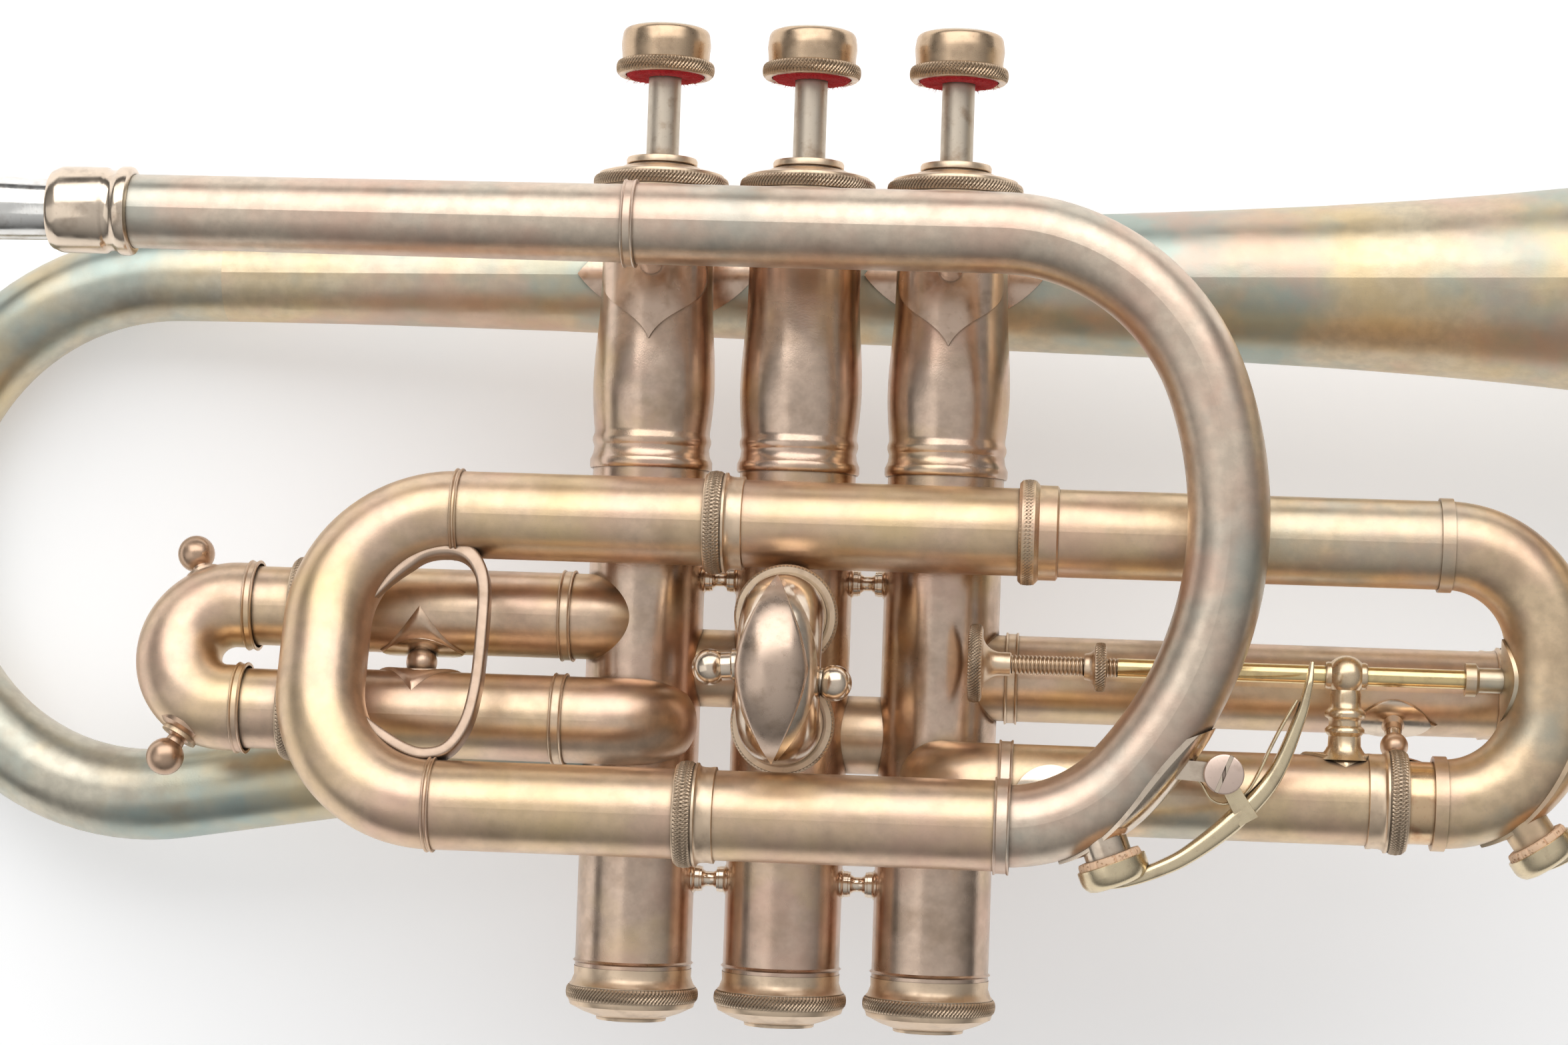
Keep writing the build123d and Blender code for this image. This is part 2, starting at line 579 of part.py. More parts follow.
def tuning_bow():
    left = TUNING_BEND_X - TUNING_BEND_R
    path = u_path((TUNING_BEND_X + 1.5, UPPER_Y, UPPER_Z), (left, UPPER_Y, UPPER_Z),
                  (left, LOWER_Y, LOWER_Z), (TUNING_BEND_X + 1.5, LOWER_Y, LOWER_Z), TUNING_BEND_R)
    return bent_pipe(path, TUBE_R, BORE_R)


def tuning_legs():
    start = TUNING_BEND_X + 1.5
    return [closed_leg(UPPER_MOUTH_X - 0.05, start, UPPER_Y, UPPER_Z, 37),
            closed_leg(LOWER_MOUTH_X - 0.05, start, LOWER_Y, LOWER_Z, 37)]


def finger_hook():
    """D-shaped strap inside the tuning bow, in the bow's own plane."""
    middle = ((UPPER_Y + LOWER_Y) / 2, (UPPER_Z + LOWER_Z) / 2)
    fall = Vector(0, UPPER_Y - LOWER_Y, UPPER_Z - LOWER_Z)
    plane = Plane(origin=(0, *middle), x_dir=(1, 0, 0), z_dir=Vector(1, 0, 0).cross(fall))
    line = ((-63.1, 11.2), (-59.9, 15.3), (-57.3, 16.3), (-53.7, 16.9), (-50.7, 16.5), (-48.2, 14.8),
            (-46.9, 11.7), (-46.7, 3.2), (-46.8, -5.1), (-47.9, -11.3), (-50.5, -15.5), (-54.4, -16.5),
            (-58.4, -15.0), (-62.7, -12.1), (-64.6, -10.3))
    strap = plane * ribbon(line, 1.1, 3.8)
    left = TUNING_BEND_X - TUNING_BEND_R
    path = u_path((TUNING_BEND_X + 1.5, UPPER_Y, UPPER_Z), (left, UPPER_Y, UPPER_Z),
                  (left, LOWER_Y, LOWER_Z), (TUNING_BEND_X + 1.5, LOWER_Y, LOWER_Z), TUNING_BEND_R)
    strap = strap - bent_rod(path, TUBE_R)
    for y, z in ((UPPER_Y, UPPER_Z), (LOWER_Y, LOWER_Z)):
        strap = strap - rod((TUNING_BEND_X, y, z), (TUNING_BEND_X + 12, y, z), TUBE_R)
    return strap


def crook_bow():
    """Bends of the quick-change slide, with the socket of the stop rod."""
    path = u_path((CROOK_START, UPPER_Y, UPPER_Z), (CROOK_X, UPPER_Y, UPPER_Z),
                  (CROOK_X, CROOK_Y, UPPER_Z), (CROOK_START, CROOK_Y, UPPER_Z), CROOK_BEND_R)
    socket = turned((0, SOCKET_X), (2.6, SOCKET_X), (2.6, SOCKET_X + 1.6), (1.95, SOCKET_X + 2.1),
                    (1.95, CROOK_X), (0, CROOK_X))
    plate = saddle(diamond(13, 9), (CROOK_X, ROD_Y, ROD_Z), (-1, 0, 0), (0, 1, 0), TUBE_R)
    solid = bent_rod(path, TUBE_R) + facing((0, ROD_Y, ROD_Z), (1, 0, 0)) * socket + plate
    for y in (UPPER_Y, CROOK_Y):
        solid = solid + ring(CROOK_START + 1, y, UPPER_Z, 2.0, TUBE_R + 0.45, TUBE_R - 0.1)
    solid = solid + nipple(CROOK_KEY, path, TUBE_R)
    return solid - bent_rod(path, BORE_R) - drain(CROOK_KEY)


def crook_sleeve():
    tube = pipe((SLEEVE_X + 0.05, UPPER_Y, UPPER_Z), (CROOK_START, UPPER_Y, UPPER_Z), TUBE_R, BORE_R)
    return tube + mouth_ring(SLEEVE_X + 1.55, UPPER_Y, UPPER_Z, 1)


def crook_inner_tube():
    return pipe((62.0, CROOK_Y, UPPER_Z), (CROOK_START, CROOK_Y, UPPER_Z), INNER_R, INNER_R - WALL)


def stop_rod():
    flare = DISC_X + 2.2
    bar = turned((0, DISC_X), (5.6, DISC_X), (6.1, DISC_X + 0.4), (6.1, DISC_X + 1.8), (5.6, flare),
                 (4.2, flare), (2.7, flare + 0.8), (2.0, flare + 2.2), (1.85, THREAD_X), (1.5, THREAD_X + 0.2),
                 (1.5, THREAD_END_X), (ROD_R, THREAD_END_X + 0.2), (ROD_R, SOCKET_X), (0, SOCKET_X))
    return facing((0, ROD_Y, ROD_Z), (1, 0, 0)) * bar


def stop_nut():
    nut = turned((1.54, NUT_X), (2.1, NUT_X), (2.4, NUT_X + 0.7), (3.3, NUT_X + 1.3), (3.8, NUT_X + 1.5),
                 (3.8, NUT_X + 2.9), (3.4, NUT_X + 3.1), (1.54, NUT_X + 3.1))
    return facing((0, ROD_Y, ROD_Z), (1, 0, 0)) * nut


def knob(point, inward, radius, neck=1.3, foot=3.0):
    """Ball on a neck with a collar, that stands on a bow."""
    step = Vector(inward).normalized()
    centre = Vector(point)
    collar = rod(centre + step * (radius + 0.8), centre + step * (radius + 1.6), foot)
    return ball(point, radius) + rod(centre, centre + step * (radius + 1.6), neck) + collar


def first_slide():
    (ya, za), (yb, zb) = FIRST_UP, FIRST_LOW
    start, left = FIRST_BOW_X + 2.2, FIRST_BOW_X - 8.8
    path = u_path((start, ya, za), (left, ya, za), (left, yb, zb), (start, yb, zb), 8.75)
    centre = Vector(FIRST_BOW_X, (ya + yb) / 2, (za + zb) / 2)
    across = Vector(0, ya - yb, za - zb).normalized()
    solid = bent_rod(path, TUBE_R)
    for side, lean in ((-1, 0.484), (1, 0.44)):
        outward = Vector(-lean, 0, 0) + across * (0.94 * side)
        solid = solid + knob(centre + outward * 18.6, -outward, 2.95)
    solid = solid - bent_rod(path, BORE_R)
    for y, z in (FIRST_UP, FIRST_LOW):
        solid = solid + pipe((FIRST_BOW_X + 1, y, z), (-46.0, y, z), INNER_R, INNER_R - WALL)
        solid = solid + pipe((FIRST_BOW_X + 1, y, z), (start, y, z), BORE_R + 0.1, INNER_R - 0.1)
    return solid


def second_slide():
    start, front = SECOND_BOW_Z - 1.5, SECOND_BOW_Z + 8.3
    path = u_path((SECOND_X, SECOND_UP, start), (SECOND_X, SECOND_UP, front),
                  (SECOND_X, SECOND_LOW, front), (SECOND_X, SECOND_LOW, start), 8.25)
    middle = (SECOND_UP + SECOND_LOW) / 2
    lens = Pos(SECOND_X, middle, start - 4) * Rot(0, 0, 90) * extrude(diamond(28, 12.4), 30)
    solid = bent_rod(path, TUBE_R - 0.4)
    guard = bent_rod(path, TUBE_R + 0.15) & lens
    solid = solid + guard
    for side in (-1, 1):
        centre = (SECOND_X + side * 9.5 - 1.0, middle - 0.9 - side * 0.9, front - 1.5)
        solid = solid + knob(centre, (-side, 0.08, 0), 2.75, 2.1, 2.6)
    solid = solid - bent_rod(path, PORT_R)
    for y in (SECOND_UP, SECOND_LOW):
        solid = solid + pipe((SECOND_X, y, 11.2), (SECOND_X, y, start + 1), INNER_R, PORT_R)
    return solid


def third_slide():
    right = THIRD_BOW_X + 11.0
    path = u_path((THIRD_BOW_X - 1.5, THIRD_Y, THIRD_NEAR), (right, THIRD_Y, THIRD_NEAR),
                  (right, THIRD_Y, THIRD_FAR), (THIRD_BOW_X - 1.5, THIRD_Y, THIRD_FAR), 10.9)
    solid = bent_pipe(path, TUBE_R, PORT_R)
    for z in (THIRD_NEAR, THIRD_FAR):
        solid = solid + pipe((80.0, THIRD_Y, z), (THIRD_BOW_X, THIRD_Y, z), INNER_R, PORT_R)
    return solid


# ---- water keys ------------------------------------------------------------
# Each key is drawn in its nipple's own plane: x along the tube, y into it,
# z towards the player's right, with the cork's seat at the origin.
def key_place(point, angle):
    return Location(Plane(origin=point, x_dir=(sin(radians(-angle)), cos(radians(angle)), 0), z_dir=(0, 0, 1)))


LEAD_KEY = key_place((51.4, -50.0, LEAD_Z), -68.8)
CROOK_KEY = key_place((116.9, -45.8, UPPER_Z), -55.3)
KEY_PIVOT = (20.4, 5.7, 0)
KEY_SEAT_R = 3.6
SCREW_HEAD_R = 2.95


def blade(points, thicknesses, width):
    """Bar bent along a smooth curve in the xy plane, with its own thickness at each point."""
    upper, lower = [], []
    for i, (point, thickness) in enumerate(zip(points, thicknesses)):
        before = Vector(*points[max(i - 1, 0)])
        after = Vector(*points[min(i + 1, len(points) - 1)])
        half = (after - before).normalized().rotate(Axis.Z, 90) * (thickness / 2)
        upper.append(Vector(*point) + half)
        lower.append(Vector(*point) - half)
    sides = Spline(*upper) + Line(upper[-1], lower[-1]) + Spline(*lower) + Line(lower[0], upper[0])
    return extrude(make_face(sides), width / 2, both=True)


def nipple(place, path, radius):
    """Spout and hinge lugs on one long pointed plate that wraps the outside of a bend."""
    outline = Pos(11.5, -2.5, 0) * Rot(-90, 0, 0) * extrude(diamond(38, 11), 15)
    plate = bent_rod(path, radius + 0.5) & (place * outline)
    standing = (Align.CENTER, Align.CENTER, Align.MIN)
    spout = Pos(0, -0.3, 0) * Rot(-90, 0, 0) * Cylinder(KEY_SEAT_R, 5.0, align=standing)
    x, y, _ = KEY_PIVOT
    lugs = spout
    for side in (-1, 1):
        lug = Pos(x - 3.4, y + 1.6, side * 3.0) * Rot(0, 0, 155) * Box(8.5, 3.0, 0.9)
        eye = Pos(x, y, side * 3.0) * Cylinder(2.0, 0.9)
        lugs = lugs + lug + eye
    screw = Pos(x, y, 3.4) * Cylinder(SCREW_HEAD_R, 0.9, align=standing)
    screw = screw - Pos(x, y, 4.1) * Rot(0, 0, 72) * Box(8, 0.6, 0.6)
    return plate + place * (lugs + Pos(*KEY_PIVOT) * Cylinder(PIVOT_R, 7.2) + screw)


def drain(place):
    """Hole through the spout into the tube."""
    return place * rod((0, -1, 0), (0, 8, 0), 1.6)


def key_cork(place):
    return place * rod((0, -0.35, 0), (0, -2.75, 0), 4.85)


def key_lever(place):
    """Cup, curved arm and hinge barrel in one piece."""
    cup = turned((0, 2.75), (4.9, 2.75), (4.9, 1.4), (5.35, 1.4), (5.35, 3.6), (4.6, 4.8), (0, 5.2))
    line = ((-1.0, -4.6), (5.0, -5.0), (11.0, -4.75), (19.2, -1.8), (27.1, 2.3), (34.0, 9.7), (38.4, 17.9))
    arm = blade(line, (0.9, 2.0, 2.5, 3.2, 2.4, 1.6, 0.8), 3.8)
    x, y, _ = KEY_PIVOT
    barrel = Pos(x, y, 0) * (Cylinder(2.1, 4.8) - Cylinder(PIVOT_R + 0.05, 5))
    web = Pos(x + 0.3, y - 4.4, 0) * Box(3.6, 5.6, 3.0) - Pos(x, y, 0) * Cylinder(1.6, 5)
    return place * (Rot(90, 0, 0) * cup + arm + barrel + web)


def key_spring(place):
    """Leaf that bears between the hinge and the lever's touch."""
    x, y, _ = KEY_PIVOT
    line = ((x + 2.3, y - 0.6), (x + 5.0, y - 0.6), (x + 8.4, y + 2.2), (x + 11.4, y + 5.0),
            (x + 14.5, y + 8.2))
    return place * ribbon(line, 0.4, 2.6)


def leadpipe_key_seat():
    return nipple(LEAD_KEY, LEAD_BEND, LEAD_R) - bent_rod(LEAD_BEND, LEAD_R) - drain(LEAD_KEY)


# ---- mouthpiece ------------------------------------------------------------
def mouthpiece():
    body = turned((3.6, -97.0), (4.4, -97.0), (4.85, -118.0), (5.05, -131.0), (6.0, -133.0), (5.3, -135.0),
                  (6.3, -141.0), (9.6, -147.0), (11.2, -154.0), (11.6, -160.0), (12.7, -162.0), (12.9, -164.5),
                  (11.8, -166.4), (10.2, -166.8), (8.6, -166.0), (8.0, -164.0), (7.3, -157.0), (4.6, -151.0),
                  (2.1, -147.5), (2.1, -143.0), (3.0, -125.0))
    return facing((0, LEAD_Y, LEAD_Z), (1, 0, 0)) * body


# ---- assembly --------------------------------------------------------------
def numbered(name, solids):
    return {f"{name}_{i + 1}": solid for i, solid in enumerate(solids)}


def assembly():
    bars = envelopes()
    nodes = {"bell": bell(), "back_bow": back_bow(), "receiver": receiver(), "leadpipe": leadpipe(),
             "leadpipe_branch": leadpipe_branch() - drain(LEAD_KEY), "tube_ferrules": tube_ferrules(),
             "lower_tuning_tube": lower_tuning_tube(), "upper_tuning_tube": upper_tuning_tube(),
             "lower_crook_tube": lower_crook_tube(), "slide_mouth_rings": slide_mouth_rings(),
             "entry_elbow": entry_elbow(), "valve_balusters": balusters(), "top_caps": top_caps(),
             "bottom_caps": bottom_caps(), "valve_knuckles": knuckles(), "tube_braces": tube_braces(bars),
             "leadpipe_braces": leadpipe_braces(bars), "bell_braces": bell_braces(),
             "first_slide_legs": first_slide_legs(), "second_slide_legs": second_slide_legs(),
             "third_slide_legs": third_slide_legs(), "valve_slide_rings": valve_slide_rings(),
             "rod_guide": rod_guide(bars), "water_key_seat": leadpipe_key_seat(),
             "tuning_bow": tuning_bow(), "tuning_legs": tuning_legs(), "finger_hook": finger_hook(),
             "crook_bow": crook_bow(), "crook_sleeve": crook_sleeve(), "crook_inner_tube": crook_inner_tube(),
             "stop_rod": stop_rod(), "stop_nut": stop_nut(), "first_slide": first_slide(),
             "second_slide": second_slide(), "third_slide": third_slide(), "mouthpiece": mouthpiece()}
    for name, place in (("water_key", LEAD_KEY), ("crook_key", CROOK_KEY)):
        nodes[name + "_lever"] = key_lever(place)
        nodes[name + "_cork"] = key_cork(place)
        nodes[name + "_spring"] = key_spring(place)
    nodes |= numbered("valve_casing", casings())
    nodes |= numbered("piston", pistons())
    nodes |= numbered("stem", stems())
    nodes |= numbered("finger_button", buttons())
    nodes |= numbered("stem_felt", stem_felts())
    nodes |= numbered("spring", springs())
    return nodes


# The cornet rests on the lowest points of the bell rim and the back bow.
RIM_LOW = BELL_Z - BELL_RIM_R - RIM_PROUD
BOW_LOW, BOW_LOW_X = -20.4 - BOW_R, -151.0
TILT = degrees(atan2(BOW_LOW - RIM_LOW, BELL_RIM_X - BOW_LOW_X))


def solids_of(shape):
    shapes = shape if isinstance(shape, list) else [shape]
    return [solid for s in shapes for solid in s.solids()]


NODES = {name: Compound(solids_of(shape)) for name, shape in assembly().items()}
TIPPED = {name: Rot(0, -TILT, 0) * shape for name, shape in NODES.items()}
BOX = Compound(list(TIPPED.values())).bounding_box()
LYING = Pos(-BOX.center().X, -BOX.center().Y, -BOX.min.Z) * Rot(0, -TILT, 0)

os.makedirs("parts", exist_ok=True)
for name, shape in NODES.items():
    export_step(LYING * shape, f"parts/{name}.step")
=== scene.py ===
"""Looks of a vintage silver-plated cornet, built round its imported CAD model.

The cornet lies on its left side, tipped a little about Y. Pieces are drawn in the instrument's own directions
and in millimetres: x along the tubes towards the bell, y along the valves towards the buttons, z towards the
player's right, with valve 2 at x = 0. LAY then carries them to the frame, in metres.
"""
import json
import math
import random

import bmesh
import bpy
from mathutils import Matrix, Vector


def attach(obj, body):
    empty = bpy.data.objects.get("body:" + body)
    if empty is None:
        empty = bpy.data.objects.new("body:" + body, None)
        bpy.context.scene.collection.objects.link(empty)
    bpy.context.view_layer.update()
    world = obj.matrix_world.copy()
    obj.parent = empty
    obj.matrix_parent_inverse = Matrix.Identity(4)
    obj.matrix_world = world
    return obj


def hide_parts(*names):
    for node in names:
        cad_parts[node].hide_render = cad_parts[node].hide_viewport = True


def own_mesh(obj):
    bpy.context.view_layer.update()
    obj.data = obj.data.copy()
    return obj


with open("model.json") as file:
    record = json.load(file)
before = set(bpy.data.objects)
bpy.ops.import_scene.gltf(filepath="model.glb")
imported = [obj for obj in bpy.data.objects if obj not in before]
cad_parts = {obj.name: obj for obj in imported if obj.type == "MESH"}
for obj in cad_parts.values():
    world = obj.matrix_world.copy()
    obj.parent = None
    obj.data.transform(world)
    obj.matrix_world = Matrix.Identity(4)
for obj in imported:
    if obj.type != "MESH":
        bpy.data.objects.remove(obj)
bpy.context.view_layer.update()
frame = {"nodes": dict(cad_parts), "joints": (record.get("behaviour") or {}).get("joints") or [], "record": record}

# ---- from the instrument's directions to the frame --------------------------
JOINTS = {joint["name"]: joint for joint in frame["joints"]}
MOUNTS = {mount["name"]: mount for mount in frame["record"]["mounts"]}
ALONG = Vector(JOINTS["quick_change_pull"]["axis"])
UP = -Vector(JOINTS["valve_2_press"]["axis"])
SIDE = Vector(JOINTS["second_slide_pull"]["axis"])
BELL_MOUTH = Vector((213.0, 45.4, -22.5))   # middle of the bell's rim
MM = 0.001


def lay_matrix():
    """Matrix from the instrument's directions, in millimetres, to the frame, in metres."""
    turn = Matrix((ALONG, UP, SIDE)).transposed()
    origin = Vector(MOUNTS["bell_mouth"]["pos_m"]) - turn @ BELL_MOUTH * MM
    return Matrix.Translation(origin) @ turn.to_4x4() @ Matrix.Scale(MM, 4)


LAY = lay_matrix()


# ---- material building ------------------------------------------------------
class Nodes:
    """A material's node tree with short calls for what the looks share."""

    def __init__(self, name):
        self.material = bpy.data.materials.new(name)
        self.material.use_nodes = True
        self.tree = self.material.node_tree
        self.shader = self.tree.nodes["Principled BSDF"]
        self.place = self.add("ShaderNodeTexCoord").outputs["Object"]

    def add(self, kind, **values):
        node = self.tree.nodes.new(kind)
        for key, value in values.items():
            setattr(node, key, value)
        return node

    def link(self, source, target):
        self.tree.links.new(source, target)

    def moved(self, scale, shift=0.0, stretch=(1.0, 1.0, 1.0)):
        """Object coordinates scaled per millimetre."""
        node = self.add("ShaderNodeMapping")
        node.inputs["Location"].default_value = (shift, shift * 1.7, shift * 0.6)
        node.inputs["Scale"].default_value = [scale / MM * s for s in stretch]
        self.link(self.place, node.inputs["Vector"])
        return node.outputs["Vector"]

    def noise(self, per_mm, shift=0.0, detail=3.0, roughness=0.55, stretch=(1.0, 1.0, 1.0)):
        node = self.add("ShaderNodeTexNoise")
        self.link(self.moved(per_mm, shift, stretch), node.inputs["Vector"])
        node.inputs["Scale"].default_value = 1.0
        node.inputs["Detail"].default_value = detail
        node.inputs["Roughness"].default_value = roughness
        return node.outputs["Fac"]

    def spots(self, per_mm, shift=0.0):
        node = self.add("ShaderNodeTexVoronoi", feature="F1")
        self.link(self.moved(per_mm, shift), node.inputs["Vector"])
        node.inputs["Scale"].default_value = 1.0
        return node.outputs["Distance"]

    def ranged(self, value, low, high, out_low=0.0, out_high=1.0):
        node = self.add("ShaderNodeMapRange", clamp=True)
        for key, number in (("From Min", low), ("From Max", high), ("To Min", out_low), ("To Max", out_high)):
            node.inputs[key].default_value = number
        self.link(value, node.inputs["Value"])
        return node.outputs["Result"]

    def arithmetic(self, operation, a, b):
        node = self.add("ShaderNodeMath", operation=operation)
        for socket, value in zip(node.inputs, (a, b)):
            if isinstance(value, (int, float)):
                socket.default_value = value
            else:
                self.link(value, socket)
        return node.outputs["Value"]

    def times(self, a, b):
        return self.arithmetic("MULTIPLY", a, b)

    def plus(self, a, b):
        return self.arithmetic("ADD", a, b)

    def mixed(self, a, b, share, blend="MIX"):
        node = self.add("ShaderNodeMix", data_type="RGBA", blend_type=blend)
        for socket, value in ((node.inputs[6], a), (node.inputs[7], b)):
            if isinstance(value, tuple):
                socket.default_value = (*value, 1.0)
            else:
                self.link(value, socket)
        if isinstance(share, (int, float)):
            node.inputs[0].default_value = share
        else:
            self.link(share, node.inputs[0])
        return node.outputs[2]

    def crevice_shade(self, reach_mm, clear=0.80, shut=0.35):
        """Painted shade mask from ambient occlusion, also standing for the grime in the joints: 1 deep in a narrow
        gap, 0 in the open.
        """
        node = self.add("ShaderNodeAmbientOcclusion", samples=6)
        node.inputs["Distance"].default_value = reach_mm * MM
        return self.ranged(node.outputs["AO"], clear, shut)

    def bump(self, height, depth_mm, strength=1.0):
        node = self.add("ShaderNodeBump")
        node.inputs["Strength"].default_value = strength
        node.inputs["Distance"].default_value = depth_mm * MM
        self.link(height, node.inputs["Height"])
        self.link(node.outputs["Normal"], self.shader.inputs["Normal"])

    def finish(self, colour, roughness, metallic=1.0):
        self.link(colour, self.shader.inputs["Base Color"])
        self.shader.inputs["Metallic"].default_value = metallic
        if isinstance(roughness, (int, float)):
            self.shader.inputs["Roughness"].default_value = roughness
        else:
            self.link(roughness, self.shader.inputs["Roughness"])
        return self.material


PALE = (0.76, 0.63, 0.50)
CHAMPAGNE = (0.78, 0.58, 0.42)
HONEY = (0.81, 0.61, 0.40)
BRONZE = (0.70, 0.53, 0.41)
OLIVE = (0.72, 0.61, 0.44)
SAGE = (0.62, 0.57, 0.46)
ROSE = (0.72, 0.47, 0.36)
GOLD = (0.78, 0.58, 0.30)
TEAL = (0.40, 0.48, 0.44)
UMBER = (0.34, 0.23, 0.15)
# near-black mixed in where ambient occlusion is high: painted shade, together with the grime at the joints
GRIME_AND_SHADE = (0.07, 0.05, 0.035)


def satin_plate(name, base, stains, roughness=0.36, grain=0.010, shade_and_grime_reach=1.6):
    """Frosted plate: a base tone, cloudy stains, a fine grain, and painted shade with grime in the crevices,
    darkened by ambient occlusion.

    stains: (colour, size in mm, noise value where it starts, where it is full, strength, shift)."""
    n = Nodes(name)
    colour = n.mixed(base, tuple(c * 0.86 for c in base), n.ranged(n.noise(0.45, 3.0), 0.38, 0.62))
    for tone, size, start, full, strength, shift in stains:
        share = n.times(n.ranged(n.noise(1.0 / size, shift, 4.0), start, full), strength)
        colour = n.mixed(colour, tone, share)
    speckle = n.noise(2.6, 7.0, 2.0)
    colour = n.mixed(colour, (0.52, 0.41, 0.32), n.ranged(speckle, 0.60, 0.78, 0.0, 0.28))
    # painted shade: ambient occlusion, broken up by noise, darkens the colour in the crevices and stands for grime
    # there too; it also roughens them
    shade_and_grime = n.crevice_shade(shade_and_grime_reach)
    smeared_shade_and_grime = n.times(shade_and_grime, n.ranged(n.noise(0.35, 11.0), 0.25, 0.55, 0.45, 1.0))
    colour = n.mixed(colour, GRIME_AND_SHADE, n.times(smeared_shade_and_grime, 0.85))
    rough = n.plus(n.ranged(n.noise(0.12, 5.0), 0.3, 0.7, roughness - 0.05, roughness + 0.06),
                   n.times(smeared_shade_and_grime, 0.25))
    n.bump(n.noise(3.2, 1.0, 2.0), grain)
    return n.finish(colour, rough)


def burnished(name, base, roughness=0.17, stain=UMBER, reach=0.9, clear=0.80, shut=0.35, stained=0.45):
    """Bright rubbed metal with fine scratches, and painted shade with grime in the cuts, darkened by ambient
    occlusion.
    """
    n = Nodes(name)
    colour = n.mixed(base, stain, n.ranged(n.noise(0.30, 2.0, 4.0), 0.52, 0.75, 0.0, stained))
    colour = n.mixed(colour, stain, n.ranged(n.noise(1.9, 9.0, 3.0), 0.60, 0.78, 0.0, stained * 0.5))
    # painted shade: ambient occlusion darkens the colour in the cuts and stands for grime there too; it also
    # roughens them
    shade_and_grime = n.crevice_shade(reach, clear, shut)
    colour = n.mixed(colour, GRIME_AND_SHADE, n.times(shade_and_grime, 0.9))
    rough = n.plus(n.ranged(n.noise(0.5, 4.0), 0.3, 0.7, roughness - 0.04, roughness + 0.08),
                   n.times(shade_and_grime, 0.3))
    n.bump(n.noise(2.5, 6.0, 3.0, stretch=(1.0, 0.25, 1.0)), 0.004)
    return n.finish(colour, rough)


def red_felt():
    n = Nodes("red_felt")
    fibres = n.noise(6.0, 0.0, 4.0)
    colour = n.mixed((0.50, 0.004, 0.012), (0.80, 0.02, 0.03), n.ranged(fibres, 0.35, 0.65))
    n.shader.inputs["Sheen Weight"].default_value = 0.4
    n.shader.inputs["Sheen Tint"].default_value = (1.0, 0.35, 0.35, 1.0)
    n.bump(fibres, 0.25)
    return n.finish(colour, 0.95, 0.0)


def tan_cork():
    n = Nodes("tan_cork")
    cells = n.ranged(n.spots(1.6), 0.05, 0.35)
    colour = n.mixed((0.56, 0.32, 0.17), (0.78, 0.53, 0.35), cells)
    colour = n.mixed(colour, (0.26, 0.11, 0.06), n.ranged(n.noise(1.0, 4.0), 0.62, 0.74, 0.0, 0.7))
    n.bump(cells, 0.15)
    return n.finish(colour, 0.85, 0.0)


def pearl():
    n = Nodes("pearl")
    colour = n.mixed((0.86, 0.78, 0.64), (0.78, 0.80, 0.74), n.noise(0.5, 2.0, 4.0))
    n.shader.inputs["Coat Weight"].default_value = 0.6
    return n.finish(colour, 0.18, 0.0)


ROSE_CLOUD = (ROSE, 16.0, 0.46, 0.66, 0.60, 1.3)
GOLD_CLOUD = (GOLD, 22.0, 0.44, 0.68, 0.65, 4.1)
UMBER_CLOUD = (UMBER, 13.0, 0.55, 0.78, 0.55, 8.2)
TEAL_CLOUD = (TEAL, 30.0, 0.44, 0.60, 0.85, 6.4)
TEAL_TOUCH = (TEAL, 24.0, 0.56, 0.70, 0.50, 2.9)
GOLD_TOUCH = (GOLD, 18.0, 0.52, 0.70, 0.45, 5.7)
UMBER_PATCH = (UMBER, 9.0, 0.50, 0.72, 0.62, 8.2)

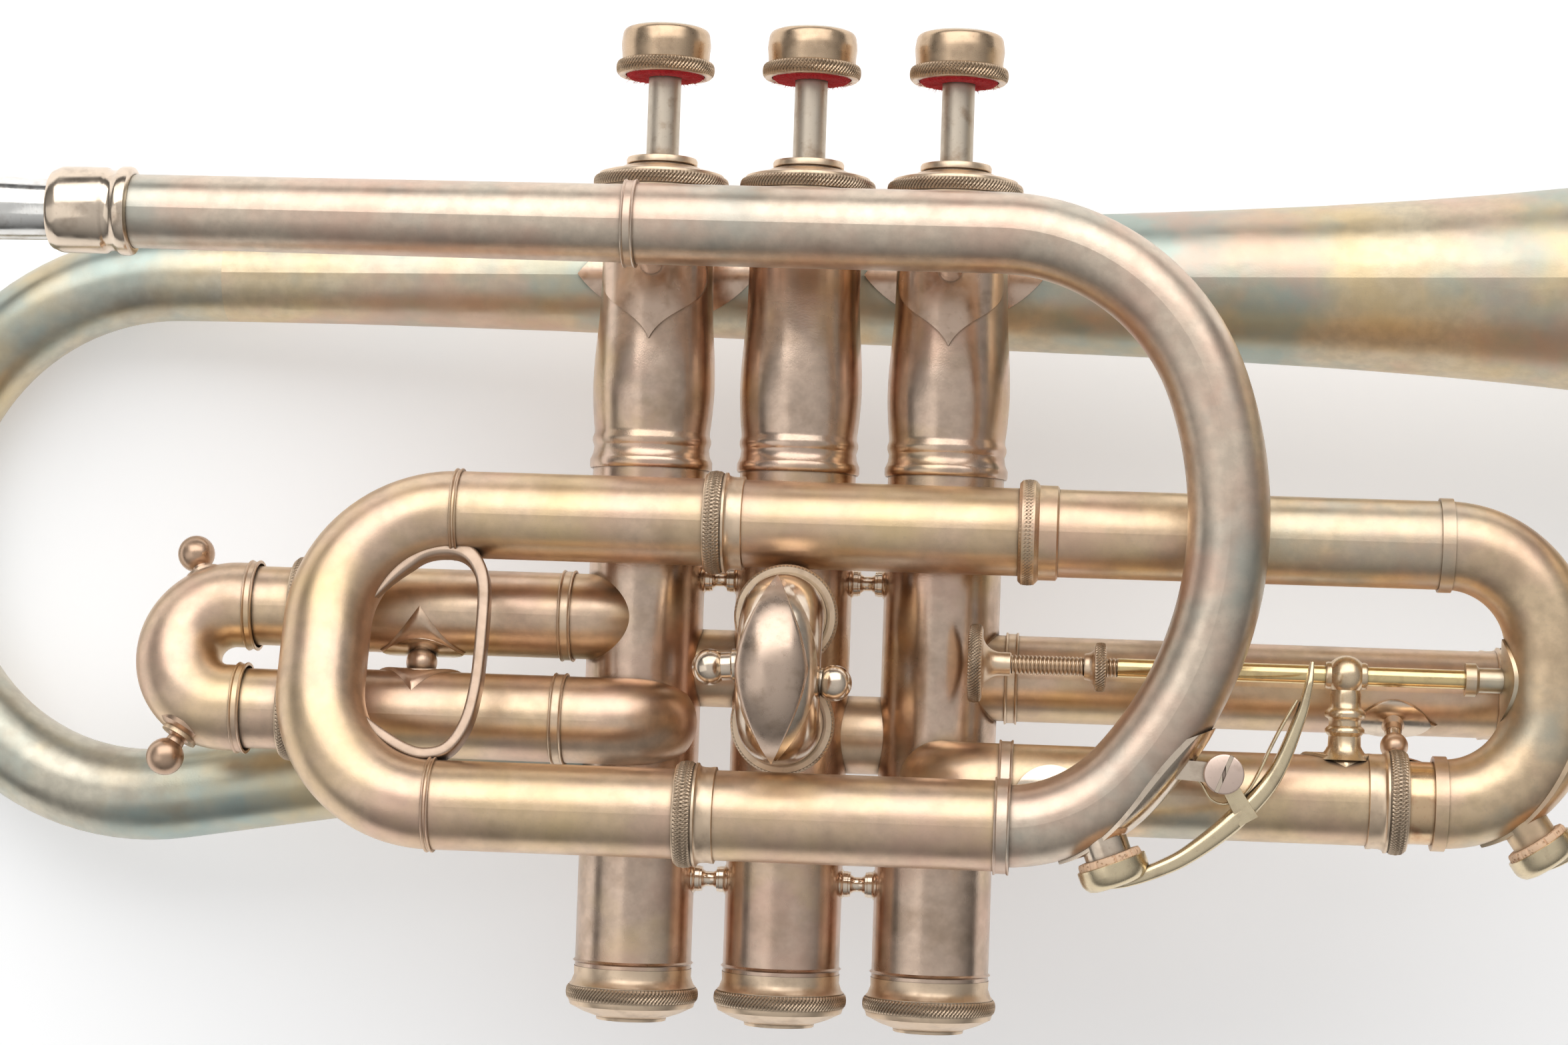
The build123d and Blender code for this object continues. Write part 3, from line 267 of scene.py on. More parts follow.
LOOKS = {
    "bell": satin_plate("plate_bell", OLIVE, (GOLD_CLOUD, TEAL_CLOUD, ROSE_CLOUD), 0.38),
    "bow": satin_plate("plate_bow", SAGE, (TEAL_CLOUD, GOLD_CLOUD, UMBER_CLOUD), 0.34),
    "lead": satin_plate("plate_lead", PALE, (ROSE_CLOUD, UMBER_CLOUD, TEAL_TOUCH)),
    "tuning": satin_plate("plate_tuning", CHAMPAGNE, (ROSE_CLOUD, GOLD_CLOUD, UMBER_CLOUD)),
    "casing": satin_plate("plate_casing", BRONZE, (UMBER_PATCH, ROSE_CLOUD, GOLD_TOUCH), 0.24),
    "golden": satin_plate("plate_golden", HONEY, (GOLD_TOUCH, ROSE_CLOUD, UMBER_CLOUD, TEAL_TOUCH)),
    "bright": burnished("burnished_plate", (0.80, 0.66, 0.52)),
    "knurl": burnished("knurled_plate", (0.78, 0.60, 0.43), 0.34, UMBER, 0.34, 0.92, 0.55),
    "button": burnished("button_plate", (0.62, 0.45, 0.30), 0.27, UMBER, 0.5, 0.85, 0.45, 0.6),
    "stem": burnished("stem_nickel", (0.60, 0.52, 0.42), 0.42, (0.30, 0.18, 0.10), stained=0.7),
    "foot": burnished("brace_foot", (0.70, 0.52, 0.40), 0.20, stained=0.6),
    "knob": burnished("knob_copper", (0.58, 0.40, 0.28), 0.30),
    "post": burnished("post_plate", (0.80, 0.62, 0.42), 0.26),
    "inner": burnished("inner_tube_brass", (0.80, 0.56, 0.34), 0.20, (0.50, 0.18, 0.08), stained=0.7),
    "nickel": burnished("dull_nickel", (0.58, 0.55, 0.48), 0.30),
    "brass": burnished("rod_brass", (0.86, 0.66, 0.34), 0.16),
    "steel": burnished("spring_steel", (0.40, 0.37, 0.33), 0.28),
    "silver": burnished("mouthpiece_silver", (0.86, 0.84, 0.80), 0.14),
    "felt": red_felt(),
    "cork": tan_cork(),
    "pearl": pearl(),
    "hook": burnished("hook_plate", (0.50, 0.37, 0.28), 0.38, stained=0.6),
    "polished": burnished("polished_guard", (0.66, 0.50, 0.39), 0.27, stained=0.6),
    "key": burnished("key_nickel", (0.80, 0.66, 0.44), 0.24),
    "screw": burnished("screw_head", (0.80, 0.62, 0.52), 0.34),
}

NODE_LOOKS = {
    "bell": ["bell"],
    "bow": ["back_bow"],
    "lead": ["receiver", "leadpipe", "leadpipe_branch"],
    "tuning": ["tuning_bow", "tuning_legs", "upper_tuning_tube", "lower_tuning_tube", "first_slide",
               "valve_knuckles", "first_slide_legs", "third_slide_legs"],
    "casing": ["valve_casing_1", "valve_casing_2", "valve_casing_3", "valve_balusters"],
    "foot": ["bell_braces", "leadpipe_braces"],
    "golden": ["lower_crook_tube", "entry_elbow", "crook_bow", "crook_sleeve", "second_slide_legs",
               "third_slide"],
    "bright": ["tube_ferrules", "tube_braces", "rod_guide", "water_key_seat", "second_slide",
               "finger_button_1", "finger_button_2", "finger_button_3", "finger_hook",
               "water_key_lever", "crook_key_lever"],
    "knurl": ["slide_mouth_rings", "valve_slide_rings", "top_caps", "bottom_caps", "stop_nut"],
    "inner": ["crook_inner_tube"],
    "nickel": ["piston_1", "piston_2", "piston_3", "stem_1", "stem_2", "stem_3"],
    "brass": ["stop_rod"],
    "steel": ["spring_1", "spring_2", "spring_3", "water_key_spring", "crook_key_spring"],
    "silver": ["mouthpiece"],
    "felt": ["stem_felt_1", "stem_felt_2", "stem_felt_3"],
    "cork": ["water_key_cork", "crook_key_cork"],
}


def dress_nodes():
    for look, names in NODE_LOOKS.items():
        for name in names:
            data = frame["nodes"][name].data
            data.materials.clear()
            data.materials.append(LOOKS[look])


dress_nodes()


# ---- mesh building ----------------------------------------------------------
BODY_OF = {name: body for body, names in frame["record"]["behaviour"]["bodies"].items() for name in names}
EASE = 0.10                              # width of the rounded edges, in millimetres


def facing(point, direction, across=(0.0, 0.0, 1.0)):
    """Matrix at a point with local z along direction and local x across it."""
    z_dir = Vector(direction).normalized()
    x_dir = Vector(across)
    if abs(x_dir.normalized().dot(z_dir)) > 0.99:
        x_dir = Vector((1.0, 0.0, 0.0))
    x_dir = (x_dir - z_dir * x_dir.dot(z_dir)).normalized()
    turn = Matrix((x_dir, z_dir.cross(x_dir), z_dir)).transposed().to_4x4()
    return Matrix.Translation(point) @ turn


def upright(x):
    """Matrix at a valve, with local z along the valve."""
    return facing((x, 0.0, 0.0), (0.0, 1.0, 0.0), (1.0, 0.0, 0.0))


def grid(work, rows, columns, point, loop_rows=True, loop_columns=True):
    """Quads through point(row, column); a loop joins the last row or column to the first."""
    verts = [[work.verts.new(point(i, j)) for j in range(columns)] for i in range(rows)]
    for i in range(rows if loop_rows else rows - 1):
        for j in range(columns if loop_columns else columns - 1):
            a, b = (i + 1) % rows, (j + 1) % columns
            work.faces.new((verts[i][j], verts[a][j], verts[a][b], verts[i][b]))
    return verts


def lathe(work, place, outline, steps=96):
    """Turned shape from (radius, height) points; a zero radius at both ends closes it on its axis."""
    on_axis = outline[0][0] == 0
    inner = outline[1:-1] if on_axis else outline

    def point(i, j):
        angle = 2 * math.pi * i / steps
        radius, height = inner[j]
        return place @ Vector((radius * math.cos(angle), radius * math.sin(angle), height))

    verts = grid(work, steps, len(inner), point, True, not on_axis)
    if on_axis:
        for column, (_, height) in ((0, outline[0]), (-1, outline[-1])):
            pole = work.verts.new(place @ Vector((0.0, 0.0, height)))
            for i in range(steps):
                work.faces.new((verts[i][column], verts[(i + 1) % steps][column], pole))


def rope(work, place, radius, height, width, inner, lean=0.5, pitch=0.64, bulge=0.42, depth=0.30):
    """Band of leaning half-round ridges, centred on a height, with its crown at the given radius."""
    ridges = round(2 * math.pi * radius / pitch)
    across, around = 9, 5

    def point(i, j):
        angle = 2 * math.pi * i / (ridges * around)
        if j >= across:
            side = 1.0 if j == across else -1.0
            r, h = inner, side * width / 2
        else:
            s = 2 * j / (across - 1) - 1
            crown = math.sqrt(max(0.0, 1 - (0.98 * s) ** 2))
            wave = 0.5 + 0.5 * math.cos(ridges * angle + 2 * math.pi * lean * width * s / pitch)
            r, h = radius - bulge + bulge * crown - depth * wave ** 2 * min(1.0, crown * 1.6), s * width / 2
        return place @ Vector((r * math.cos(angle), r * math.sin(angle), height + h))

    grid(work, ridges * around, across + 2, point)


def ball(work, centre, radius, steps=48):
    outline = [(radius * math.sin(math.pi * k / 24), -radius * math.cos(math.pi * k / 24)) for k in range(25)]
    outline[0], outline[-1] = (0, -radius), (0, radius)
    lathe(work, Matrix.Translation(centre), outline, steps)


def smooth_line(points, per_span=8):
    """Catmull-Rom line through 2-D or 3-D points."""
    knots = [Vector(p) for p in points]
    knots = [knots[0] * 2 - knots[1], *knots, knots[-1] * 2 - knots[-2]]
    line = []
    for a, b, c, d in zip(knots, knots[1:], knots[2:], knots[3:]):
        for k in range(per_span):
            t = k / per_span
            line.append(0.5 * (2 * b + (c - a) * t + (2 * a - 5 * b + 4 * c - d) * t * t
                               + (3 * b - a - 3 * c + d) * t ** 3))
    return [*line, knots[-2]]


def eased_values(values, count):
    """Stretches a few values evenly over count places."""
    made = []
    for k in range(count):
        t = k / (count - 1) * (len(values) - 1)
        i = min(int(t), len(values) - 2)
        made.append(values[i] + (values[i + 1] - values[i]) * (t - i))
    return made


def strap(work, place, line, thickness, width, roundness=0.35, corner_steps=4):
    """Bar along a flat line, with thickness in the line's plane and width across it spread along the line."""
    thick, wide = eased_values(thickness, len(line)), eased_values(width, len(line))
    corners = []
    for k in range(4):
        for step in range(corner_steps):
            turn = math.pi / 2 * (k + step / (corner_steps - 1))
            corners.append(((1, 1), (-1, 1), (-1, -1), (1, -1))[k] + (math.cos(turn), math.sin(turn)))

    def point(i, j):
        ahead, behind = line[min(i + 1, len(line) - 1)], line[max(i - 1, 0)]
        run = (ahead - behind).normalized()
        side = Vector((-run.y, run.x))
        sx, sy, cx, cy = corners[j]
        half_t, half_w = thick[i] / 2, wide[i] / 2
        r = roundness * min(half_t, half_w)
        t, w = sx * (half_t - r) + cx * r, sy * (half_w - r) + cy * r
        spot = line[i] + side * t
        return place @ Vector((spot.x, spot.y, w))

    verts = grid(work, len(line), len(corners), point, False, True)
    work.faces.new(verts[0])
    work.faces.new(verts[-1])


def wire(work, line, radius, steps=8, taper=1.0):
    """Round wire along a 3-D line, thinning towards its end."""
    frames = []
    side = (line[1] - line[0]).orthogonal().normalized()
    for i, spot in enumerate(line):
        run = (line[min(i + 1, len(line) - 1)] - line[max(i - 1, 0)]).normalized()
        side = (side - run * side.dot(run)).normalized()
        r = radius * (1 + (taper - 1) * i / (len(line) - 1))
        frames.append((spot, side * r, run.cross(side) * r))

    def point(i, j):
        turn = 2 * math.pi * j / steps
        spot, a, b = frames[i]
        return spot + a * math.cos(turn) + b * math.sin(turn)

    verts = grid(work, len(line), steps, point, False, True)
    work.faces.new(verts[0])
    work.faces.new(verts[-1])


def piece(name, work, look, *nodes, body=None, slot=None, ease=True):
    """Object made of work, which rides on a body; it stands for the CAD nodes that it is given."""
    mesh = bpy.data.meshes.new(name)
    bmesh.ops.recalc_face_normals(work, faces=work.faces)
    work.transform(LAY)
    work.to_mesh(mesh)
    work.free()
    mesh.materials.append(LOOKS[look])
    mesh.shade_smooth()
    mesh.set_sharp_from_angle(angle=math.radians(40))
    made = bpy.data.objects.new(name, mesh)
    bpy.context.scene.collection.objects.link(made)
    if ease:
        bevel = made.modifiers.new("eased_edges", "BEVEL")
        bevel.width = EASE * MM
        bevel.segments = 2
        bevel.limit_method = "ANGLE"
        bevel.angle_limit = math.radians(38)
    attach(made, body or BODY_OF[nodes[0]])
    if nodes:
        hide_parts(*nodes)
    return made


# ---- valves -----------------------------------------------------------------
VALVE_X = (-24.0, 0.0, 24.0)
STEM_R = 2.65
CAP_SEAT, COLLAR_TOP = 53.2, 58.9
BUTTON_FOOT, BUTTON_TOP = 72.3, 80.3
STROKE = 12.8
CASING_FOOT, CAP_WELL = -72.6, -76.0


def finger_button(index):
    place = upright(VALVE_X[index])
    work = bmesh.new()
    foot, top = BUTTON_FOOT, BUTTON_TOP
    dome = [(7.15 - 0.95 * (1 - math.cos(k * math.pi / 12)), top - 1.55 + 1.35 * math.sin(k * math.pi / 12))
            for k in range(7)]
    lathe(work, place, [(0, foot + 2.6), (6.5, foot + 2.6), (6.5, foot + 0.15), (6.7, foot), (7.5, foot),
                        (7.6, foot + 0.2), (7.6, foot + 2.0), (7.1, foot + 2.5), (7.15, foot + 3.6),
                        (7.3, foot + 5.0), (7.25, top - 2.2), *dome, (6.0, top - 0.3), (0, top - 0.3)])
    rope(work, place, 8.05, foot + 1.25, 2.1, 7.4, lean=-0.42)
    piece(f"button_{index + 1}", work, "button", f"finger_button_{index + 1}", ease=False)
    work = bmesh.new()
    lathe(work, place, [(0, top - 0.35), (5.9, top - 0.35), (5.9, top - 0.05), (5.5, top + 0.12),
                        (0, top + 0.2)])
    piece(f"button_pearl_{index + 1}", work, "pearl", body=f"valve_{index + 1}", slot="silver_bright")


def button_felt(index):
    """Red felt disc with a ragged edge and loose fibres."""
    draw = random.Random(40 + index)
    place = upright(VALVE_X[index])
    low, high = COLLAR_TOP + STROKE + 0.27, BUTTON_FOOT + 2.5
    work = bmesh.new()
    steps = 160
    shape = [(STEM_R + 0.05, low + 0.1), (3.6, low), (4.8, low - 0.1), (5.8, low), (6.35, low + 0.5),
             (6.4, high), (STEM_R + 0.05, high)]
    rough = [[draw.uniform(-0.12, 0.12) for _ in shape] for _ in range(steps)]

    def point(i, j):
        angle = 2 * math.pi * i / steps
        radius, height = shape[j]
        loose = rough[i][j] if 0 < j < 5 else 0.0
        return place @ Vector((radius * math.cos(angle), radius * math.sin(angle), height + loose))

    grid(work, steps, len(shape), point)
    for _ in range(110):
        angle, radius = draw.uniform(0, 2 * math.pi), draw.uniform(6.0, 6.3)
        root = Vector((radius * math.cos(angle), radius * math.sin(angle), low + 0.1))
        lean = Vector((root.x, root.y, 0.0)).normalized() * draw.uniform(-0.1, 0.9)
        lean.z = -draw.uniform(0.0, 0.6)
        curl = Vector((draw.uniform(-0.1, 0.1), draw.uniform(-0.1, 0.1), draw.uniform(-0.2, 0.4)))
        line = [place @ (root + lean * (k / 4) + curl * (k / 4) ** 2) for k in range(5)]
        wire(work, line, 0.035, 4, 0.4)
    piece(f"felt_{index + 1}", work, "felt", f"stem_felt_{index + 1}", ease=False)


def valve_stem(index):
    work = bmesh.new()
    outline = [(0, 8.0), (5.5, 8.0), (5.5, 10.5), (STEM_R, 12.0), (STEM_R, 74.9), (0, 74.9)]
    lathe(work, upright(VALVE_X[index]), outline)
    piece(f"valve_stem_{index + 1}", work, "stem", f"stem_{index + 1}")


def all_top_caps():
    work = bmesh.new()
    for x in VALVE_X:
        place = upright(x)
        lathe(work, place, [(STEM_R + 0.06, 56.4), (8.15, 55.2), (8.15, CAP_SEAT), (10.15, CAP_SEAT),
                            (10.3, 53.35), (10.35, 55.7), (10.1, 56.15), (9.0, 56.5), (7.4, 56.85),
                            (6.6, 57.0), (6.3, 57.3), (5.35, 57.4), (5.35, 57.6), (5.75, 57.8), (5.8, 58.4),
                            (5.6, COLLAR_TOP - 0.1), (5.2, COLLAR_TOP), (STEM_R + 0.06, COLLAR_TOP)])
        rope(work, place, 11.05, 54.65, 1.9, 10.2, lean=-0.42)
    piece("valve_top_caps", work, "knurl", "top_caps", ease=False)


def all_bottom_caps():
    work = bmesh.new()
    for x in VALVE_X:
        place = upright(x)
        lathe(work, place, [(0, CAP_WELL), (8.3, CAP_WELL), (8.3, CASING_FOOT - 0.01),
                            (9.5, CASING_FOOT - 0.01), (9.45, -74.0), (9.9, -75.2), (10.2, -75.5),
                            (10.2, -78.1), (10.0, -78.8), (8.0, -79.8), (5.7, -80.6), (5.6, -81.1),
                            (4.6, -81.1), (3.4, -79.6), (0, -79.3)])
        rope(work, place, 10.7, -76.8, 2.2, 10.0, lean=-0.42)
    piece("valve_bottom_caps", work, "knurl", "bottom_caps", ease=False)


def all_balusters():
    side = [(9.8, 7.9), (9.8, 9.6), (9.35, 11.4), (9.6, 12.9), (9.35, 14.0), (9.7, 17.0), (9.9, 21.0),
            (9.75, 26.0), (9.3, 32.0), (9.1, 38.0), (9.05, CAP_SEAT)]
    curve = [tuple(p) for p in smooth_line(side[5:], 4)]
    foot = [(9.8, 7.9), (9.95, 8.2), (9.95, 9.3), (9.8, 9.6), (9.5, 10.3), (9.35, 11.4), (9.45, 11.7),
            (9.65, 12.3), (9.65, 12.9), (9.4, 13.6), (9.4, 14.2), (9.55, 15.4)]
    work = bmesh.new()
    for x in VALVE_X:
        lathe(work, upright(x), [(8.6, 7.9), *foot, *curve, (8.2, CAP_SEAT)])
    piece("balusters", work, "casing", "valve_balusters", ease=False)


def coil_spring(index):
    low, high, radius, turns, per_turn = CAP_WELL + 0.5, -52.5, 6.8, 8, 24
    work = bmesh.new()
    line = []
    for k in range(turns * per_turn + 1):
        turn = 2 * math.pi * k / per_turn
        height = low + (high - low) * k / (turns * per_turn)
        line.append(Vector((VALVE_X[index] + radius * math.cos(turn), height, radius * math.sin(turn))))
    wire(work, line, 0.45)
    made = piece(f"coil_{index + 1}", work, "steel", f"spring_{index + 1}", ease=False)
    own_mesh(made)


for valve in range(3):
    finger_button(valve)
    button_felt(valve)
    valve_stem(valve)
    coil_spring(valve)
all_top_caps()
all_bottom_caps()
all_balusters()

# ---- rings and ferrules -----------------------------------------------------
TUBE_R, RING_R = 6.9, 8.2
UPPER = (-1.1, 17.0)                     # height and depth of each run
LOWER = (-46.5, 32.0)
CROOK = (-41.1, 17.0)
LEAD = (44.0, 32.0)
FIRST_LEGS = ((-16.4, 5.0), (-33.0, 11.0))
FIRST_BOW_X = -89.8
THIRD_LEGS = ((-24.0, 1.0), (-24.0, -21.0))
SECOND_LEGS = ((0.6, -15.6), (0.6, -32.2))
SECOND_MOUTH = 23.5
SLEEVE_X = 36.2
LEAD_FERRULE_X, LOWER_FERRULE_X = -24.8, 35.3


def mouth_ring(work, x, run, skirt):
    """Knurled ring with a hollow skirt on its fixed side."""
    place = facing((x, *run), (skirt, 0.0, 0.0))
    lathe(work, place, [(TUBE_R, -1.5), (7.6, -1.5), (7.7, -1.35), (7.7, 1.35), (7.95, 1.5), (7.95, 1.85),
                        (7.6, 2.0), (7.42, 2.3), (7.32, 2.8), (7.3, 3.6), (7.4, 4.2), (7.4, 4.55),
                        (TUBE_R, 4.7)])
    rope(work, place, RING_R, 0.0, 2.4, 7.4)


def plain_ring(work, x, run, width, radius, inner):
    """Flat ferrule with a fine bead at each edge."""
    place = facing((x, *run), (1.0, 0.0, 0.0))
    half = width / 2
    lathe(work, place, [(inner, -half), (radius + 0.05, -half), (radius + 0.12, 0.12 - half),
                        (radius + 0.05, 0.3 - half), (radius - 0.12, 0.42 - half),
                        (radius - 0.12, half - 0.42), (radius + 0.05, half - 0.3),
                        (radius + 0.12, half - 0.12), (radius + 0.05, half), (inner, half)])


def all_rings():
    work = bmesh.new()
    mouth_ring(work, -11.5, UPPER, 1.0)
    mouth_ring(work, -13.0, LOWER, 1.0)
    mouth_ring(work, 95.8, CROOK, -1.0)
    piece("tuning_mouth_rings", work, "knurl", "slide_mouth_rings", ease=False)
    work = bmesh.new()
    for run in FIRST_LEGS:
        mouth_ring(work, -79.0, run, 1.0)
        plain_ring(work, -35.8, run, 2.0, TUBE_R + 0.4, TUBE_R)
    for run in THIRD_LEGS:
        mouth_ring(work, 116.9, run, -1.0)
    plain_ring(work, 35.6, THIRD_LEGS[0], 2.0, TUBE_R + 0.4, TUBE_R)
    for x, y in SECOND_LEGS:
        place = facing((x, y, SECOND_MOUTH), (0.0, 0.0, 1.0))
        lathe(work, place, [(TUBE_R, -2.2), (7.7, -2.2), (7.7, 0.0), (TUBE_R, 0.0)])
        rope(work, place, 8.15, -1.1, 1.9, 7.4, lean=0.45)
    piece("valve_mouth_rings", work, "knurl", "valve_slide_rings", ease=False)
    work = bmesh.new()
    plain_ring(work, LEAD_FERRULE_X, LEAD, 1.9, 6.75, 6.25)
    plain_ring(work, LOWER_FERRULE_X, LOWER, 2.4, TUBE_R + 0.45, TUBE_R)
    plain_ring(work, SLEEVE_X - 0.8, CROOK, 2.2, TUBE_R + 0.5, TUBE_R)
    piece("joining_ferrules", work, "lead", "tube_ferrules", ease=False)
    for name, x, run, width in (("tuning_leg_rings", -52.3, (UPPER, LOWER), 1.1),
                                ("first_bow_rings", -87.2, FIRST_LEGS, 1.6),
                                ("third_bow_rings", 124.0, THIRD_LEGS, 1.6)):
        work = bmesh.new()
        for place in run:
            plain_ring(work, x, place, width, TUBE_R + 0.35, TUBE_R - 0.05)
        piece(name, work, "tuning", body=name.split("_")[0] + "_slide", slot="silver_bright", ease=False)


def sleeve_knurl():
    """Rope that crowns the ring at the quick-change sleeve's mouth."""
    work = bmesh.new()
    rope(work, facing((SLEEVE_X + 1.55, *UPPER), (1.0, 0.0, 0.0)), RING_R + 0.12, 0.0, 2.5, 7.6)
    piece("sleeve_rope", work, "knurl", body="quick_change_slide", slot="silver_bright", ease=False)


all_rings()
sleeve_knurl()

# ---- stop rod, its nut and guide --------------------------------------------
ROD = (-21.8, 17.0)
DISC_X, THREAD_X, THREAD_END_X = 29.0, 35.7, 52.3
NUT_X, GUIDE_X, SOCKET_X = 47.3, 87.6, 105.8
THREAD_PITCH = 0.64


def stop_rod_pieces():
    place = facing((0.0, *ROD), (1.0, 0.0, 0.0))
    work = bmesh.new()
    flare = DISC_X + 2.2
    cove = [(4.6 - 2.75 * math.sin(k * math.pi / 16),
             flare + 2.9 * (1 - math.cos(k * math.pi / 16))) for k in range(9)]
    lathe(work, place, [(0, DISC_X), (5.4, DISC_X), (5.6, DISC_X + 0.2), (5.6, flare - 0.15), (5.4, flare),
                        *cove, (1.85, THREAD_X - 0.15), (1.7, THREAD_X), (0, THREAD_X)])
    rope(work, place, 6.15, DISC_X + 1.1, 2.0, 5.3, lean=0.45, pitch=0.56)
    piece("stop_disc", work, "knurl", body="quick_change_slide", slot="silver_bright", ease=False)
    work = bmesh.new()
    lathe(work, place, [(0, THREAD_END_X), (1.5, THREAD_END_X), (1.5, SOCKET_X + 0.5), (0, SOCKET_X + 0.5)],
          64)
    piece("stop_bar", work, "brass", "stop_rod", ease=False)
    work = bmesh.new()
    around, rows = 24, round((THREAD_END_X - THREAD_X + 0.4) / THREAD_PITCH * 8)

    def point(i, j):
        along = THREAD_X - 0.2 + THREAD_PITCH * i / 8
        phase = (i / 8 + j / around) % 1.0
        radius = 1.28 + 0.27 * (1 - abs(2 * phase - 1)) ** 0.8
        turn = -2 * math.pi * j / around
        return place @ Vector((radius * math.cos(turn), radius * math.sin(turn), along))

    verts = grid(work, rows + 1, around, point, False, True)
    work.faces.new(verts[0])
    work.faces.new(verts[-1])
    piece("stop_thread", work, "knurl", body="quick_change_slide", slot="silver_bright", ease=False)


def stop_nut_piece():
    place = facing((0.0, *ROD), (1.0, 0.0, 0.0))
    work = bmesh.new()
    cove = [(3.45 - 1.35 * math.cos(k * math.pi / 12),
             NUT_X + 1.45 * math.sin(k * math.pi / 12)) for k in range(7)]
    lathe(work, place, [(1.56, NUT_X - 0.2), (2.0, NUT_X - 0.2), *cove, (3.5, NUT_X + 1.6),
                        (3.5, NUT_X + 3.0), (3.2, NUT_X + 3.2), (1.56, NUT_X + 3.2)])
    rope(work, place, 3.88, NUT_X + 2.3, 1.55, 3.3, lean=0.45, pitch=0.52, bulge=0.2, depth=0.22)
    piece("knurled_stop_nut", work, "knurl", "stop_nut", ease=False)


def guide_post():
    place = facing((GUIDE_X, CROOK[0], ROD[1]), (0.0, 1.0, 0.0))
    work = bmesh.new()
    centre = ROD[0] - CROOK[0]
    arc = [(3.15 * math.sin(k * math.pi / 16),
            centre - 3.15 * math.cos(k * math.pi / 16)) for k in range(4, 17)]
    arc[-1] = (0, centre + 3.15)
    lathe(work, place, [(0, 6.2), (4.4, 6.3), (3.6, 6.9), (3.0, 7.6), (2.55, 8.4), (2.5, 9.9), (2.75, 10.2),
                        (3.05, 10.5), (3.05, 11.0), (2.8, 11.3), (2.5, 11.5), (2.45, 12.2), (2.6, 12.6),
                        (3.1, 12.9), (3.2, 13.3), (3.1, 13.8), (2.75, 14.1), (2.45, 14.4), (2.35, 15.4),
                        (2.4, 16.3), *arc])
    eye = facing((GUIDE_X - 3.2, *ROD), (1.0, 0.0, 0.0))
    lathe(work, eye, [(1.56, 0.0), (1.95, 0.0), (2.1, 0.3), (2.1, 6.1), (1.95, 6.4), (1.56, 6.4)], 64)
    saddle_plate(work, (GUIDE_X, *CROOK), 0.0, 13.5, 10.0, TUBE_R)
    piece("rod_guide_post", work, "post", "rod_guide", ease=False)


def saddle_plate(work, centre, facing_angle, long, wide, core, proud=0.45, hollow=1.15):
    """Pointed plate wrapped on a tube along x; its middle faces the angle, measured from +y towards +z."""
    rows, columns = 33, 17
    turn = math.radians(facing_angle)
    up = Vector((0.0, math.cos(turn), math.sin(turn)))
    axis = Vector((1.0, 0.0, 0.0))
    side = axis.cross(up)

    def point(layer):
        def place(i, j):
            s, t = 2 * i / (rows - 1) - 1, 2 * j / (columns - 1) - 1
            reach = wide / 2 * (1 - abs(s)) ** hollow * t
            edge = min(1.0, 6.0 * (1 - abs(t)), 9.0 * (1 - abs(s)))
            radius = core - 0.1 + layer * (0.12 + proud * edge ** 0.5)
            around = reach / core
            outward = up * math.cos(around) + side * math.sin(around)
            return Vector(centre) + axis * (long / 2 * s) + outward * radius
        return place

    for layer in (0, 1):
        grid(work, rows, columns, point(layer), False, False)
    bmesh.ops.remove_doubles(work, verts=work.verts, dist=0.0005)


stop_rod_pieces()
stop_nut_piece()
guide_post()


# ---- knobs, finger hook and the second slide --------------------------------
def knob(work, centre, inward, radius, neck, collar):
    """Ball on a waisted neck with a collar, standing on a bow."""
    place = facing(centre, inward)
    arc = [(radius * math.sin(math.pi * k / 24), -radius * math.cos(math.pi * k / 24)) for k in range(1, 21)]
    lathe(work, place, [(0, -radius), *arc, (neck, radius - 0.1), (neck * 0.94, radius + 0.4),
                        (collar, radius + 0.9), (collar, radius + 1.2), (neck * 1.1, radius + 1.45),
                        (collar * 1.2, radius + 1.9), (collar * 1.25, radius + 2.3), (0, radius + 2.4)], 64)


def first_slide_knobs():
    """The two pull knobs stand on round feet on the shoulders of the bow."""
    knob_reach, foot_reach = 18.6, 14.4     # from the middle between the bow's ends
    (ya, za), (yb, zb) = FIRST_LEGS
    middle = Vector((FIRST_BOW_X, (ya + yb) / 2, (za + zb) / 2))
    across = Vector((0.0, ya - yb, za - zb)).normalized()
    work = bmesh.new()
    for side, lean in ((-1, 0.484), (1, 0.44)):
        outward = Vector((-lean, 0.0, 0.0)) + across * (0.94 * side)
        knob(work, middle + outward * knob_reach, -outward, 3.0, 1.5, 2.2)
        foot = facing(middle + outward * foot_reach, outward, (0.0, 0.0, 1.0))
        lathe(work, foot, [(0, -1.2), (4.6, -1.2), (4.4, -0.5), (3.6, -0.1), (2.9, 0.05), (0, 0.1)], 64)
    piece("first_slide_knobs", work, "knob", body="first_slide", slot="silver_satin", ease=False)


